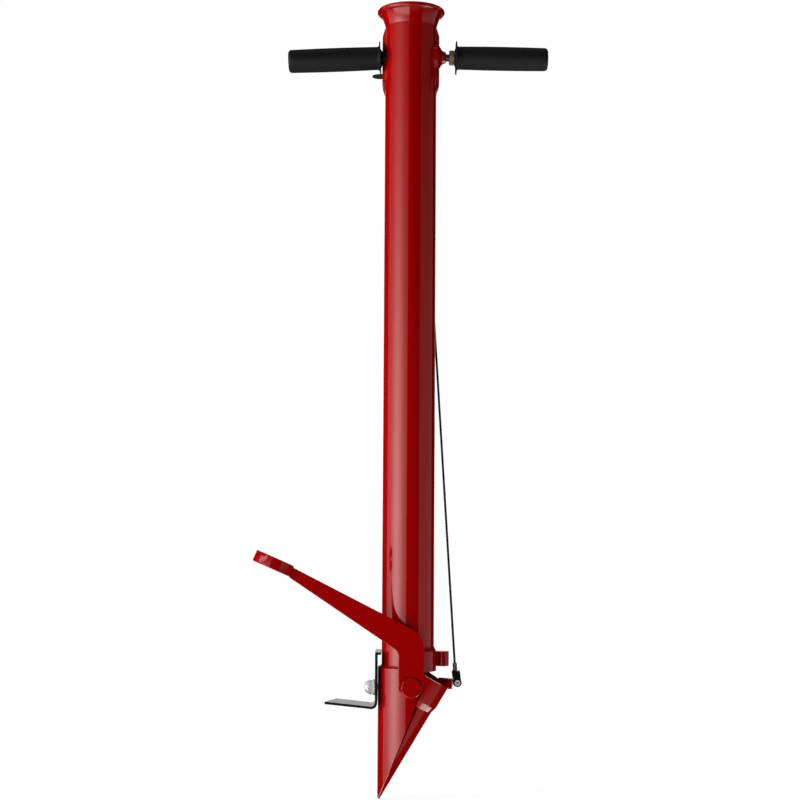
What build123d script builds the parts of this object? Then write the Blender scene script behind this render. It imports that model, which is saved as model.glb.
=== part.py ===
from build123d import *
import math
import os

# Planting tube. A seedling is dropped down the tube, and the pedal opens the beak at its foot.
# Millimetres. Z is the tube's axis, -X is the pedal's side and -Y is the near side.
# The origin is the centre of the bore at the tube's lower end.

# Clearances
weld_gap = 0.15
fit_gap = 0.05
run_gap = 0.3

# Main tube
bore_radius = 31.5
tube_wall = 1.5
tube_straight = 825.0
flare_bend = 28.0
flare_angle = 40.0
lip_radius = 3.4
lip_reach = 1.8

# Saddle behind the head
saddle_wall = 3.65
saddle_drop = 2.0
saddle_height = 96.0
saddle_front = 2.0
saddle_front_height = 69.0
saddle_tail_height = 79.0
saddle_tail_step = 14.0
saddle_tail_width = 20.0
saddle_notch_gap = 0.3

# Handles
handle_drop = 38.0
left_droop = 2.4
right_droop = 0.7
bar_radius = 9.0
bar_wall = 2.5
grip_length = 120.8
grip_radius = 15.0
grip_end_wall = 8.2
grip_hub_length = 1.5
grip_hub_wall = 1.2
grip_hub_root_radius = 12.6
grip_root_fillet = 2.5
grip_end_fillet = 3.0
flange_radius = 21.4
flange_thickness = 1.7
flange_fillet = 0.6
boss_root_radius = 18.5
boss_root_length = 1.3
boss_cone_radius = 9.0
boss_cone_length = 6.0
boss_tip_radius = 6.6
boss_tip_length = 5.1
boss_drill_wall = 3.0
stud_radius = 5.0
stud_bare_length = 3.9
stud_bar_depth = 25.0
jam_nut_width = 17.0
jam_nut_height = 6.6

# Fixed jaw, the left half of the beak
jaw_wall = 4.35
jaw_top = 7.5
jaw_top_slope = 2.3
jaw_edge_x = 18.0
beak_length = 159.3
parting_angle = 21.9
parting_gap = 0.5

# Pivot of the moving jaw
pivot_x = 4.4
pivot_drop = 17.0
trunnion_radius = 7.0
trunnion_inset = 0.25
shoulder_radius = 10.5
bush_wall = 1.95
cap_radius = 12.4
cap_thickness = 3.0
cap_recess = 1.9
cap_fillet = 1.0
spool_radius = 9.0
spool_flange_radius = 13.5
spool_flange_thickness = 2.6
spool_end_wall = 1.5

# Moving jaw
open_angle = 19.0
jaw_tilt = 31.0
collar_gap = 1.9
collar_wall = 3.0
collar_top = 21.5
collar_bevel_top = 8.0
collar_bevel_length = 9.3
collar_bevel_step = 2.3
collar_notch = 14.6
collar_notch_slope = 0.16
eye_radius = 13.0
far_eye_radius = 15.5

# Pedal arm, measured from the pivot
arm_thickness = 4.2
arm_right = 15.8
arm_left = 15.9
arm_shoulder_height = 15.7
arm_outer_corner = 64.4
arm_outer_bend = 26.6
arm_inner_corner = 44.25
arm_inner_bend = 11.0
arm_foot_angle = 45.0
arm_foot_height = -2.8
pedal_reach = 172.7
pedal_height = 152.6
pedal_radius = 25.0
pedal_wall = 5.0
pedal_depth = 14.3
pedal_tilt = 23.4
pedal_edge_fillet = 0.8
arm_end_inset = 18.3
arm_end_drop = 1.8
arm_end_width = 14.4

# Stop on the tube's foot
bracket_wall = 2.85
bracket_bottom = 0.5
bracket_height = 29.9
bracket_edge_x = 19.5
bracket_bevel = 5.3
stop_radius = 8.2
stop_y = 14.0
stop_bottom = 4.8
stop_height = 18.7
stop_neck_width = 12.0
stop_gap = 0.4

# Lug and cable end
lug_near_y = 18.0
lug_width = 14.0
lug_reach = 52.4
lug_height = 13.1
lug_root = 30.0
cable_radius = 1.5
cable_gap = 0.1
cable_y = 27.0
eye_bolt_drop = 5.6
eye_bolt_radius = 3.0
eye_bolt_depth = 10.8
eye_outer_radius = 4.7
eye_thickness = 4.0
eye_reach = 7.0
eye_nut_width = 9.0
eye_nut_height = 1.2
clevis_pin_radius = 2.5
clevis_pin_tail = 1.0
clevis_head_radius = 3.6
clevis_head_thickness = 1.5
clevis_radius = 5.4
clevis_thickness = 10.6
clevis_slot_gap = 0.3
clevis_slot_reach = 8.4
clevis_block_bottom = 6.5
clevis_block_height = 8.5
clevis_block_left = 7.4
clevis_block_right = 3.2
clevis_block_lean = 1.0
clevis_edge_fillet = 0.8
cable_foot_x = 2.8
cable_tail = 4.5
ferrule_radius = 2.8
ferrule_length = 9.7

# Trigger behind the head
trigger_x = -21.5
trigger_drop = 45.0
trigger_arm = 37.4
trigger_rest_angle = 15.51
trigger_gap = 5.2
trigger_thickness = 4.0
trigger_eye_radius = 11.0
trigger_arm_radius = 7.5
trigger_boss_radius = 8.0
trigger_bolt_radius = 5.0
trigger_bolt_floor = 1.0
trigger_bolt_width = 16.0
trigger_bolt_head = 5.5
trigger_bush_wall = 1.45
trigger_washer_radius = 10.0
trigger_washer_thickness = 1.5
trigger_post_x = 10.5
trigger_post_left = 15.1
trigger_post_right = 2.5
trigger_post_shoulder = 14.0
trigger_post_height = 27.8
trigger_brace_x = 10.2
trigger_brace_height = 7.0
tab_near_y = 18.0
tab_width = 20.0
tab_reach = 28.7
tab_root_reach = 12.5
tab_thickness = 1.8
cable_pin_radius = 3.0
cable_pin_head_radius = 5.0
cable_pin_head_thickness = 2.0
top_eye_radius = 7.0
top_eye_thickness = 4.0
top_eye_slack = 0.8
top_stem_radius = 2.6
top_stem_length = 18.0
top_stem_start = 6.2
top_stem_wall = 3.0

# Over-centre spring of the trigger
toggle_post_drop = 3.0
toggle_pin_reach = 16.0
toggle_pin_radius = 2.3
toggle_eye_radius = 6.0
toggle_head_radius = 4.5
toggle_head_thickness = 1.5
toggle_wire_radius = 0.8
toggle_coil_radius = 4.2
toggle_pitch = 2.3
toggle_turns = 14
toggle_hook_radius = 3.8
toggle_hook_angle = 250.0
toggle_spring_gap = 1.2

# Closing spring of the jaw
spring_wire_radius = 1.5
spring_coil_radius = 12.0
spring_pitch = 3.6
spring_quarters = 11
spring_start_gap = 2.4
spring_end_gap = 2.0
spring_catch_leg = 25.6
spring_anchor_leg = 33.0
spring_pin_radius = 3.0
spring_pin_gap = 0.1
spring_catch_x = 20.0
spring_anchor_height = 30.0
spring_pin_overhang = 2.0

# Depth stop
stop_plate_thickness = 3.1
stop_plate_width = 46.0
stop_plate_gap = 0.4
stop_hook_top = 24.5
stop_bend_inner = 4.5
stop_bend_z = -38.25
stop_plate_tilt = 5.8
stop_plate_reach = 58.0
stop_plate_slant = 13.0
stop_travel_up = 6.5
stop_travel_down = 13.0
stop_slot_gap = 0.3
depth_stud_radius = 5.0
depth_stud_drop = 21.0
depth_washer_radius = 10.0
depth_washer_thickness = 2.2
depth_nut_width = 17.0
depth_nut_height = 6.0
depth_dome_height = 4.8
depth_dome_radius = 7.6
depth_dome_fillet = 4.4
depth_nut_end_wall = 1.8

# Radii and faces that several pieces share
tube_radius = bore_radius + tube_wall
saddle_radius = tube_radius + weld_gap + saddle_wall
jaw_radius = tube_radius + weld_gap + jaw_wall
bracket_radius = tube_radius + weld_gap + bracket_wall
collar_inner = jaw_radius + collar_gap
collar_radius = collar_inner + collar_wall
arm_inner_face = collar_radius - arm_thickness
arm_middle = collar_radius - arm_thickness / 2
shell_radius = collar_radius - collar_bevel_step
bush_radius = trunnion_radius + fit_gap + bush_wall
pivot_z = -pivot_drop
handle_height = tube_straight - handle_drop
saddle_top = tube_straight - saddle_drop
lug_end = pivot_x + lug_reach

# Directions
left_out = (-math.cos(math.radians(left_droop)), 0, -math.sin(math.radians(left_droop)))
right_out = (math.cos(math.radians(right_droop)), 0, -math.sin(math.radians(right_droop)))
left_axis = Plane(origin=(0, 0, handle_height), x_dir=(0, 1, 0), z_dir=left_out)
right_axis = Plane(origin=(0, 0, handle_height), x_dir=(0, 1, 0), z_dir=right_out)
tilt = math.radians(jaw_tilt)
jaw_across = Vector(math.cos(tilt), 0, -math.sin(tilt))
jaw_along = Vector(math.sin(tilt), 0, math.cos(tilt))
pivot = Vector(pivot_x, 0, pivot_z)
jaw_side = Plane(origin=pivot, x_dir=jaw_across, z_dir=(0, -1, 0))
jaw_axis = Plane(origin=pivot, x_dir=jaw_across, z_dir=jaw_along)
beyond = 4 * collar_radius


def facing(x, z, side, distance):
    """Plane square to Y at a distance from the tube's axis, facing away from it on the near or far side."""
    return Plane(origin=(x, side * distance, z), x_dir=(1, 0, 0), z_dir=(0, side, 0))


near, far = -1, 1


def turned(x, z, degrees):
    """A point of the side view turned about its origin, towards +Z from +X."""
    angle = math.radians(degrees)
    return x * math.cos(angle) - z * math.sin(angle), x * math.sin(angle) + z * math.cos(angle)


# Tube and handles
flare = math.radians(flare_angle)
flare_middle = flare_bend + tube_wall / 2
lip_x = tube_radius + flare_bend - flare_middle * math.cos(flare) + lip_reach * math.sin(flare)
lip_z = tube_straight + flare_middle * math.sin(flare) + lip_reach * math.cos(flare)

with BuildPart() as main_tube:
    with BuildSketch(Plane.XZ):
        with BuildLine():
            inside = Line((bore_radius, 0), (bore_radius, tube_straight))
            inside_flare = JernArc(inside @ 1, (0, 1), flare_bend + tube_wall, -flare_angle)
            outside = Line((tube_radius, 0), (tube_radius, tube_straight))
            outside_flare = JernArc(outside @ 1, (0, 1), flare_bend, -flare_angle)
            Line(inside @ 0, outside @ 0)
            Line(inside_flare @ 1, outside_flare @ 1)
        make_face()
        with Locations((lip_x, lip_z)):
            Circle(lip_radius)
    revolve(axis=Axis.Z)

with BuildPart() as handle_saddle:
    with BuildSketch(Plane.XY.offset(saddle_top - saddle_height)):
        Circle(saddle_radius)
        Circle(tube_radius + weld_gap, mode=Mode.SUBTRACT)
    extrude(amount=saddle_height)
    with BuildSketch(Plane.YZ):
        Polygon(
            (-saddle_front, saddle_top),
            (beyond, saddle_top),
            (beyond, saddle_top - saddle_height),
            (saddle_tail_width, saddle_top - saddle_height),
            (saddle_tail_step, saddle_top - saddle_tail_height),
            (-saddle_front, saddle_top - saddle_front_height),
            align=None,
        )
    extrude(amount=beyond, both=True, mode=Mode.INTERSECT)
    with BuildSketch(left_axis):
        Circle(bar_radius + saddle_notch_gap)
    extrude(amount=beyond, mode=Mode.SUBTRACT)
    with BuildSketch(right_axis):
        Circle(boss_root_radius + saddle_notch_gap)
    extrude(amount=beyond, mode=Mode.SUBTRACT)

boss_cone_start = tube_radius + boss_root_length
boss_cone_end = boss_cone_start + boss_cone_length
boss_tip = boss_cone_end + boss_tip_length
stud_start = tube_radius + boss_drill_wall
jam_nut_start = boss_tip + stud_bare_length
right_grip_start = jam_nut_start + jam_nut_height + run_gap
grip_hub_radius = bar_radius + fit_gap + grip_hub_wall
left_grip_start = saddle_radius + grip_hub_radius * math.tan(math.radians(left_droop)) + run_gap
bar_depth = grip_length - grip_end_wall - fit_gap
stud_end = right_grip_start + stud_bar_depth - run_gap

with BuildPart() as right_handle_boss:
    with BuildSketch(Plane(origin=right_axis.origin, x_dir=right_out, z_dir=(0, -1, 0))):
        Polygon(
            (0, 0),
            (0, boss_root_radius),
            (boss_cone_start, boss_root_radius),
            (boss_cone_end, boss_cone_radius),
            (boss_tip, boss_tip_radius),
            (boss_tip, 0),
            align=None,
        )
    revolve(axis=Axis(right_axis.origin, right_out))
    with BuildSketch(Plane.XY.offset(handle_height)):
        Circle(tube_radius + weld_gap)
    extrude(amount=2 * boss_root_radius, both=True, mode=Mode.SUBTRACT)
    with BuildSketch(right_axis.offset(stud_start)):
        Circle(stud_radius + fit_gap)
    extrude(amount=boss_tip, mode=Mode.SUBTRACT)

with BuildPart() as left_handle_bar:
    with BuildSketch(left_axis):
        Circle(bar_radius)
        Circle(bar_radius - bar_wall, mode=Mode.SUBTRACT)
    extrude(amount=left_grip_start + bar_depth)
    with BuildSketch(Plane.XY.offset(handle_height)):
        Circle(tube_radius + weld_gap)
    extrude(amount=2 * bar_radius, both=True, mode=Mode.SUBTRACT)

with BuildPart() as right_handle_bar:
    with BuildSketch(right_axis.offset(right_grip_start)):
        Circle(bar_radius)
        Circle(stud_radius + fit_gap, mode=Mode.SUBTRACT)
    extrude(amount=bar_depth)
    with BuildSketch(right_axis.offset(right_grip_start + stud_bar_depth)):
        Circle(bar_radius - bar_wall)
    extrude(amount=bar_depth, mode=Mode.SUBTRACT)

with BuildPart() as right_stud:
    with BuildSketch(right_axis.offset(stud_start + fit_gap)):
        Circle(stud_radius)
    extrude(amount=stud_end - stud_start - fit_gap)

with BuildPart() as right_jam_nut:
    with BuildSketch(right_axis.offset(jam_nut_start)):
        RegularPolygon(jam_nut_width / 2, 6, major_radius=False)
        Circle(stud_radius + fit_gap, mode=Mode.SUBTRACT)
    extrude(amount=jam_nut_height)


def grip_outline(start):
    """Half section of a hand grip: distance along its axis, then radius."""
    flange_start = start + grip_hub_length
    flange_end = flange_start + flange_thickness
    end = start + grip_length
    bore_end = end - grip_end_wall
    with BuildSketch() as outline:
        Polygon(
            (start, bar_radius + fit_gap),
            (start, grip_hub_radius),
            (flange_start, grip_hub_root_radius),
            (flange_start, flange_radius),
            (flange_end, flange_radius),
            (flange_end, grip_radius),
            (end, grip_radius),
            (end, 0),
            (bore_end, 0),
            (bore_end, bar_radius + fit_gap),
            align=None,
        )
        rounds = [
            ((flange_start, flange_radius), flange_fillet),
            ((flange_end, flange_radius), flange_fillet),
            ((flange_end, grip_radius), grip_root_fillet),
            ((end, grip_radius), grip_end_fillet),
        ]
        for corner, radius in rounds:
            fillet(outline.vertices().sort_by_distance(corner)[0], radius=radius)
    return outline.sketch


def make_grip(axis, start):
    """Flanged hand grip that slips over a handle bar."""
    with BuildPart() as grip:
        with BuildSketch(Plane(origin=axis.origin, x_dir=axis.z_dir, z_dir=(0, -1, 0))):
            add(grip_outline(start))
        revolve(axis=Axis(axis.origin, axis.z_dir))
    return grip


left_grip = make_grip(left_axis, left_grip_start)
right_grip = make_grip(right_axis, right_grip_start)

# Fixed jaw and the stop above the moving one
parting = math.radians(parting_angle)
tip_x = -jaw_radius
tip_z = -beak_length
parting_top_x = jaw_edge_x
parting_top_z = tip_z + (parting_top_x - tip_x) / math.tan(parting)

with BuildPart() as fixed_jaw:
    with BuildSketch(Plane.XZ):
        Polygon(
            (tube_radius + weld_gap, tip_z),
            (jaw_radius, tip_z),
            (jaw_radius, jaw_top - jaw_top_slope),
            (tube_radius + weld_gap, jaw_top),
            align=None,
        )
    revolve(axis=Axis.Z)
    with BuildSketch(Plane.XZ):
        Polygon(
            (-beyond, jaw_top),
            (jaw_edge_x, jaw_top),
            (parting_top_x, parting_top_z),
            (tip_x, tip_z),
            (-beyond, tip_z),
            align=None,
        )
    extrude(amount=beyond, both=True, mode=Mode.INTERSECT)
    with BuildSketch(Plane.XZ):
        with Locations((pivot_x, pivot_z)):
            Circle(trunnion_radius + fit_gap)
    extrude(amount=beyond, both=True, mode=Mode.SUBTRACT)

bracket_top = bracket_bottom + bracket_height

with BuildPart() as stop_bracket:
    with BuildSketch(Plane.XZ):
        Polygon(
            (tube_radius + weld_gap, bracket_bottom),
            (bracket_radius, bracket_bottom),
            (bracket_radius, bracket_top - bracket_bevel),
            (tube_radius + weld_gap, bracket_top),
            align=None,
        )
    revolve(axis=Axis.Z)
    with BuildSketch(Plane.XZ):
        with Locations((bracket_edge_x, bracket_bottom)):
            Rectangle(beyond, bracket_height, align=(Align.MIN, Align.MIN))
    extrude(amount=beyond, both=True, mode=Mode.INTERSECT)

stop_x = bracket_radius + stop_radius

with BuildPart() as stop_boss:
    with BuildSketch(Plane.XY.offset(stop_bottom)):
        with Locations((stop_x, stop_y)):
            Circle(stop_radius)
        with Locations((stop_x, stop_y)):
            Rectangle(stop_x, stop_neck_width, align=(Align.MAX, Align.CENTER))
        Circle(bracket_radius + weld_gap, mode=Mode.SUBTRACT)
    extrude(amount=stop_height)

# Pivot pieces on both sides of the fixed jaw
shoulder_face = arm_inner_face - run_gap
cap_face = collar_radius + run_gap
spring_start = collar_radius + spring_start_gap + spring_wire_radius
spring_end = spring_start + spring_pitch * spring_quarters / 4
spool_face = spring_end + spring_wire_radius + spring_end_gap
spool_end = spool_face + spool_flange_thickness


def make_trunnion(side, end):
    """Pin welded into the fixed jaw, with a shoulder that meets its round wall."""
    with BuildPart() as trunnion:
        with BuildSketch(facing(pivot_x, pivot_z, side, tube_radius + weld_gap - trunnion_inset)):
            Circle(shoulder_radius)
        extrude(amount=shoulder_face - tube_radius - weld_gap + trunnion_inset)
        with BuildSketch(Plane.XY.offset(pivot_z)):
            Circle(jaw_radius + weld_gap)
        extrude(amount=2 * shoulder_radius, both=True, mode=Mode.SUBTRACT)
        with BuildSketch(facing(pivot_x, pivot_z, side, tube_radius + weld_gap + trunnion_inset)):
            Circle(trunnion_radius)
        extrude(amount=end - tube_radius - weld_gap - trunnion_inset)
    return trunnion


near_trunnion = make_trunnion(near, cap_face + cap_recess - fit_gap)
far_trunnion = make_trunnion(far, spool_end - spool_end_wall - fit_gap)


def make_bush(side):
    """Plain bearing pressed into an eye of the moving jaw."""
    with BuildPart() as bush:
        with BuildSketch(facing(pivot_x, pivot_z, side, arm_inner_face)):
            Circle(bush_radius)
            Circle(trunnion_radius + fit_gap, mode=Mode.SUBTRACT)
        extrude(amount=arm_thickness)
    return bush


near_bush = make_bush(near)
far_bush = make_bush(far)

with BuildPart() as near_pivot_cap:
    with BuildSketch(facing(pivot_x, pivot_z, near, cap_face)):
        Circle(cap_radius)
    extrude(amount=cap_thickness)
    fillet(near_pivot_cap.edges().group_by(Axis.Y)[0], radius=cap_fillet)
    with BuildSketch(facing(pivot_x, pivot_z, near, cap_face)):
        Circle(trunnion_radius + fit_gap)
    extrude(amount=cap_recess, mode=Mode.SUBTRACT)

with BuildPart() as far_spool:
    with BuildSketch(facing(pivot_x, pivot_z, far, cap_face)):
        Circle(spool_radius)
    extrude(amount=spool_end - cap_face)
    with BuildSketch(facing(pivot_x, pivot_z, far, spool_face)):
        Circle(spool_flange_radius)
    extrude(amount=spool_flange_thickness)
    with BuildSketch(facing(pivot_x, pivot_z, far, cap_face)):
        Circle(trunnion_radius + fit_gap)
    extrude(amount=spool_end - spool_end_wall - cap_face, mode=Mode.SUBTRACT)

# Moving jaw and pedal
pedal_centre = Vector(pivot_x - pedal_reach, -arm_middle, pivot_z + pedal_height)
lean = math.radians(pedal_tilt)
pedal_axis = Plane(
    origin=pedal_centre,
    x_dir=(math.cos(lean), 0, -math.sin(lean)),
    z_dir=(math.sin(lean), 0, math.cos(lean)),
)
foot_turn = math.radians(arm_foot_angle)
arm_foot = (-eye_radius * math.sin(foot_turn), -eye_radius * math.cos(foot_turn))


def arm_outline():
    """Side view of the pedal arm, measured from the pivot."""
    outer_corner = (arm_right, arm_outer_corner)
    inner_corner = (-arm_left, arm_inner_corner)
    arm_end_top = (arm_end_inset - pedal_reach, pedal_height - arm_end_drop)
    arm_end_bottom = (arm_end_inset - pedal_reach, pedal_height - arm_end_drop - arm_end_width)
    with BuildSketch() as outline:
        Polygon(
            arm_end_top,
            outer_corner,
            (arm_right, arm_shoulder_height),
            (eye_radius, 0),
            arm_foot,
            (-arm_left, arm_foot_height),
            inner_corner,
            arm_end_bottom,
            align=None,
        )
        fillet(outline.vertices().sort_by_distance(outer_corner)[0], radius=arm_outer_bend)
        fillet(outline.vertices().sort_by_distance(inner_corner)[0], radius=arm_inner_bend)
        Circle(eye_radius)
    return outline.sketch


with BuildPart() as pedal_arm:
    with BuildSketch(facing(pivot_x, pivot_z, near, arm_inner_face)):
        add(arm_outline())
        Circle(bush_radius + fit_gap, mode=Mode.SUBTRACT)
    extrude(amount=arm_thickness)
    with BuildSketch(pedal_axis):
        Circle(pedal_radius + weld_gap)
    extrude(amount=pedal_depth + arm_end_width, both=True, mode=Mode.SUBTRACT)

with BuildPart() as pedal_ring:
    with BuildSketch(pedal_axis):
        Circle(pedal_radius)
        Circle(pedal_radius - pedal_wall, mode=Mode.SUBTRACT)
    extrude(amount=pedal_depth / 2, both=True)
    fillet(pedal_ring.edges().filter_by(GeomType.CIRCLE), radius=pedal_edge_fillet)

bevel_end = collar_bevel_top + collar_bevel_length

with BuildPart() as jaw_collar:
    with BuildSketch(jaw_side):
        Polygon(
            (collar_inner, collar_top),
            (collar_radius, collar_top),
            (collar_radius, -collar_bevel_top),
            (shell_radius, -bevel_end),
            (shell_radius - collar_wall, -bevel_end),
            (collar_inner, -collar_bevel_top),
            align=None,
        )
    revolve(axis=Axis(pivot, jaw_along))
    with BuildSketch(jaw_side):
        Rectangle(beyond, beyond, align=(Align.MAX, Align.CENTER))
        Polygon(
            (-beyond, 0),
            (collar_notch, 0),
            (collar_notch + collar_notch_slope * beyond, -beyond),
            (-beyond, -beyond),
            align=None,
        )
    extrude(amount=beyond, both=True, mode=Mode.SUBTRACT)
    with BuildSketch(facing(pivot_x, pivot_z, near, 0)):
        add(arm_outline())
        offset(amount=weld_gap)
    extrude(amount=beyond, mode=Mode.SUBTRACT)
    with BuildSketch(facing(pivot_x, pivot_z, far, 0)):
        Circle(far_eye_radius + weld_gap)
    extrude(amount=beyond, mode=Mode.SUBTRACT)

parting_plane = Plane(
    origin=(tip_x, 0, tip_z),
    x_dir=(math.sin(parting), 0, math.cos(parting)),
    z_dir=(math.cos(parting), 0, -math.sin(parting)),
)
beak_half_length = jaw_radius / math.sin(parting)

with BuildPart() as jaw_shell:
    with BuildSketch(jaw_axis.offset(-bevel_end - weld_gap)):
        Circle(shell_radius)
        Circle(shell_radius - collar_wall, mode=Mode.SUBTRACT)
    extrude(amount=-2 * beak_length)
    with BuildSketch(parting_plane.offset(parting_gap)):
        with Locations((beak_half_length, 0)):
            Ellipse(beak_half_length, jaw_radius)
            Rectangle(beyond, 2 * collar_radius, align=(Align.MIN, Align.CENTER))
    extrude(amount=beyond, mode=Mode.INTERSECT)

with BuildPart() as far_eye:
    with BuildSketch(facing(pivot_x, pivot_z, far, arm_inner_face)):
        Circle(far_eye_radius)
        Circle(bush_radius + fit_gap, mode=Mode.SUBTRACT)
    extrude(amount=arm_thickness)

# The lug's flat top meets the stop when the jaw is fully open.
stop_touch_y = lug_near_y - stop_y
stop_touch_x = stop_x + math.sqrt(stop_radius**2 - stop_touch_y**2)
lug_top = pivot_z + turned(stop_touch_x - pivot_x, stop_bottom - stop_gap - pivot_z, -open_angle)[1]
eye_x = lug_end + eye_reach
eye_z = lug_top - eye_bolt_drop

with BuildPart() as jaw_lug:
    with BuildSketch(Plane.XZ.offset(-lug_near_y)):
        with Locations((lug_end, lug_top)):
            Rectangle(lug_root, lug_height, align=(Align.MAX, Align.MAX))
    extrude(amount=-lug_width)
    with BuildSketch(jaw_axis):
        Circle(collar_radius + weld_gap)
    extrude(amount=beyond, both=True, mode=Mode.SUBTRACT)
    with BuildSketch(Plane(origin=(lug_end, cable_y, eye_z), z_dir=(-1, 0, 0))):
        Circle(eye_bolt_radius + fit_gap)
    extrude(amount=eye_bolt_depth + fit_gap, mode=Mode.SUBTRACT)

shank_end = eye_x - clevis_radius - run_gap

with BuildPart() as cable_eye_bolt:
    with BuildSketch(Plane(origin=(lug_end - eye_bolt_depth, cable_y, eye_z), z_dir=(1, 0, 0))):
        Circle(eye_bolt_radius)
    extrude(amount=shank_end - lug_end + eye_bolt_depth)
    with BuildSketch(Plane.XZ.offset(-cable_y)):
        with Locations((eye_x, eye_z)):
            Circle(eye_outer_radius)
            Rectangle(eye_x - shank_end, 2 * eye_bolt_radius, align=(Align.MAX, Align.CENTER))
            Circle(clevis_pin_radius + fit_gap, mode=Mode.SUBTRACT)
    extrude(amount=eye_thickness / 2, both=True)

with BuildPart() as cable_eye_nut:
    with BuildSketch(Plane(origin=(lug_end + fit_gap, cable_y, eye_z), z_dir=(1, 0, 0))):
        RegularPolygon(eye_nut_width / 2, 6, major_radius=False)
        Circle(eye_bolt_radius + fit_gap, mode=Mode.SUBTRACT)
    extrude(amount=eye_nut_height)

# Trigger's pivot and faces, and the pins that its rocker carries
trigger_z = handle_height - trigger_drop
lever_near = saddle_radius + trigger_gap
lever_far = lever_near + trigger_thickness
bolt_inner_x = abs(trigger_x) - trigger_bolt_radius
bolt_start = math.sqrt(saddle_radius**2 - bolt_inner_x**2) + trigger_bolt_floor
washer_face = lever_far + run_gap
bolt_head_face = washer_face + trigger_washer_thickness
bolt_end = bolt_head_face + trigger_bolt_head
rest = math.radians(trigger_rest_angle)
cable_pin_at = (trigger_arm * math.cos(rest), -trigger_arm * math.sin(rest))
toggle_pin_at = (-toggle_pin_reach * math.sin(rest), -toggle_pin_reach * math.cos(rest))
cable_pin_x = trigger_x + cable_pin_at[0]
cable_pin_z = trigger_z + cable_pin_at[1]
top_eye_y = lever_far + run_gap + top_stem_radius

# Cable from the lug's eye to the trigger
clevis_block_top = clevis_block_bottom + clevis_block_height
cable_foot = Vector(eye_x - cable_foot_x, cable_y, eye_z + clevis_block_top)
cable_top = Vector(cable_pin_x, top_eye_y, cable_pin_z)
cable_way = (cable_top - cable_foot).normalized()
cable_length = (cable_top - cable_foot).length - top_stem_start - top_stem_wall


def along_cable(distance):
    """Plane square to the cable at a distance up it from the fork."""
    return Plane(origin=cable_foot + cable_way * distance, z_dir=cable_way)


with BuildPart() as cable_clevis:
    with BuildSketch(Plane.XZ.offset(-cable_y)):
        with Locations((eye_x, eye_z)):
            Circle(clevis_radius)
            Polygon(
                (-clevis_block_left, clevis_block_top),
                (clevis_block_right, clevis_block_top),
                (clevis_block_right + clevis_block_lean, clevis_block_bottom),
                (clevis_radius, 0),
                (-clevis_radius, 0),
                (-clevis_radius, clevis_block_bottom),
                (clevis_block_lean - clevis_block_left, clevis_block_bottom),
                align=None,
            )
    extrude(amount=clevis_thickness / 2, both=True)
    fillet(cable_clevis.faces().sort_by(Axis.Z)[-1].edges(), radius=clevis_edge_fillet)
    with BuildSketch(Plane.XZ.offset(-cable_y)):
        with Locations((eye_x, eye_z + clevis_slot_reach)):
            Rectangle(4 * clevis_radius, beyond, align=(Align.CENTER, Align.MAX))
    extrude(amount=eye_thickness / 2 + clevis_slot_gap, both=True, mode=Mode.SUBTRACT)
    with BuildSketch(Plane.XZ.offset(-cable_y)):
        with Locations((eye_x, eye_z)):
            Circle(clevis_pin_radius + fit_gap)
    extrude(amount=clevis_thickness, both=True, mode=Mode.SUBTRACT)
    with BuildSketch(along_cable(-cable_tail - fit_gap)):
        Circle(cable_radius + cable_gap)
    extrude(amount=2 * cable_tail, mode=Mode.SUBTRACT)

with BuildPart() as clevis_pin:
    with BuildSketch(facing(eye_x, eye_z, far, cable_y - clevis_thickness / 2)):
        Circle(clevis_pin_radius)
    extrude(amount=clevis_thickness + clevis_pin_tail)
    with BuildSketch(facing(eye_x, eye_z, far, cable_y - clevis_thickness / 2)):
        Circle(clevis_head_radius)
    extrude(amount=-clevis_head_thickness)

with BuildPart() as cable_ferrule:
    with BuildSketch(along_cable(weld_gap)):
        Circle(ferrule_radius)
        Circle(cable_radius + cable_gap, mode=Mode.SUBTRACT)
    extrude(amount=ferrule_length)

with BuildPart() as cable:
    with BuildSketch(along_cable(-cable_tail)):
        Circle(cable_radius)
    extrude(amount=cable_tail + cable_length)

with BuildPart() as cable_top_eye:
    with BuildSketch(Plane.XZ.offset(-top_eye_y)):
        with Locations((cable_pin_x, cable_pin_z)):
            Circle(top_eye_radius)
    extrude(amount=top_eye_thickness / 2, both=True)
    with BuildSketch(along_cable(cable_length + top_stem_wall)):
        Circle(top_stem_radius)
    extrude(amount=-top_stem_length)
    with BuildSketch(along_cable(cable_length + fit_gap)):
        Circle(cable_radius + cable_gap)
    extrude(amount=-top_stem_length, mode=Mode.SUBTRACT)
    with BuildSketch(Plane.XZ.offset(-top_eye_y)):
        with Locations((cable_pin_x, cable_pin_z)):
            Circle(cable_pin_radius + top_eye_slack)
    extrude(amount=top_eye_thickness, both=True, mode=Mode.SUBTRACT)


def tapered_link(end, end_radius):
    """Tapered bar from the trigger's pivot eye to a smaller eye, in the rocker's side view."""
    length = math.hypot(*end)
    side = (-end[1] / length, end[0] / length)
    with BuildSketch() as link:
        Polygon(
            (side[0] * trigger_eye_radius, side[1] * trigger_eye_radius),
            (end[0] + side[0] * end_radius, end[1] + side[1] * end_radius),
            (end[0] - side[0] * end_radius, end[1] - side[1] * end_radius),
            (-side[0] * trigger_eye_radius, -side[1] * trigger_eye_radius),
            align=None,
        )
        Circle(trigger_eye_radius)
        with Locations(end):
            Circle(end_radius)
    return link.sketch


trigger_bush_radius = trigger_bolt_radius + fit_gap + trigger_bush_wall
lever_side = Plane(origin=(trigger_x, lever_far, trigger_z), x_dir=(1, 0, 0), z_dir=(0, -1, 0))
tab_far_y = tab_near_y + tab_width
tab_tip_x = tab_width / 2 - tab_reach
tab_plane = Plane(origin=(trigger_x, 0, trigger_z + trigger_post_height))

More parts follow.
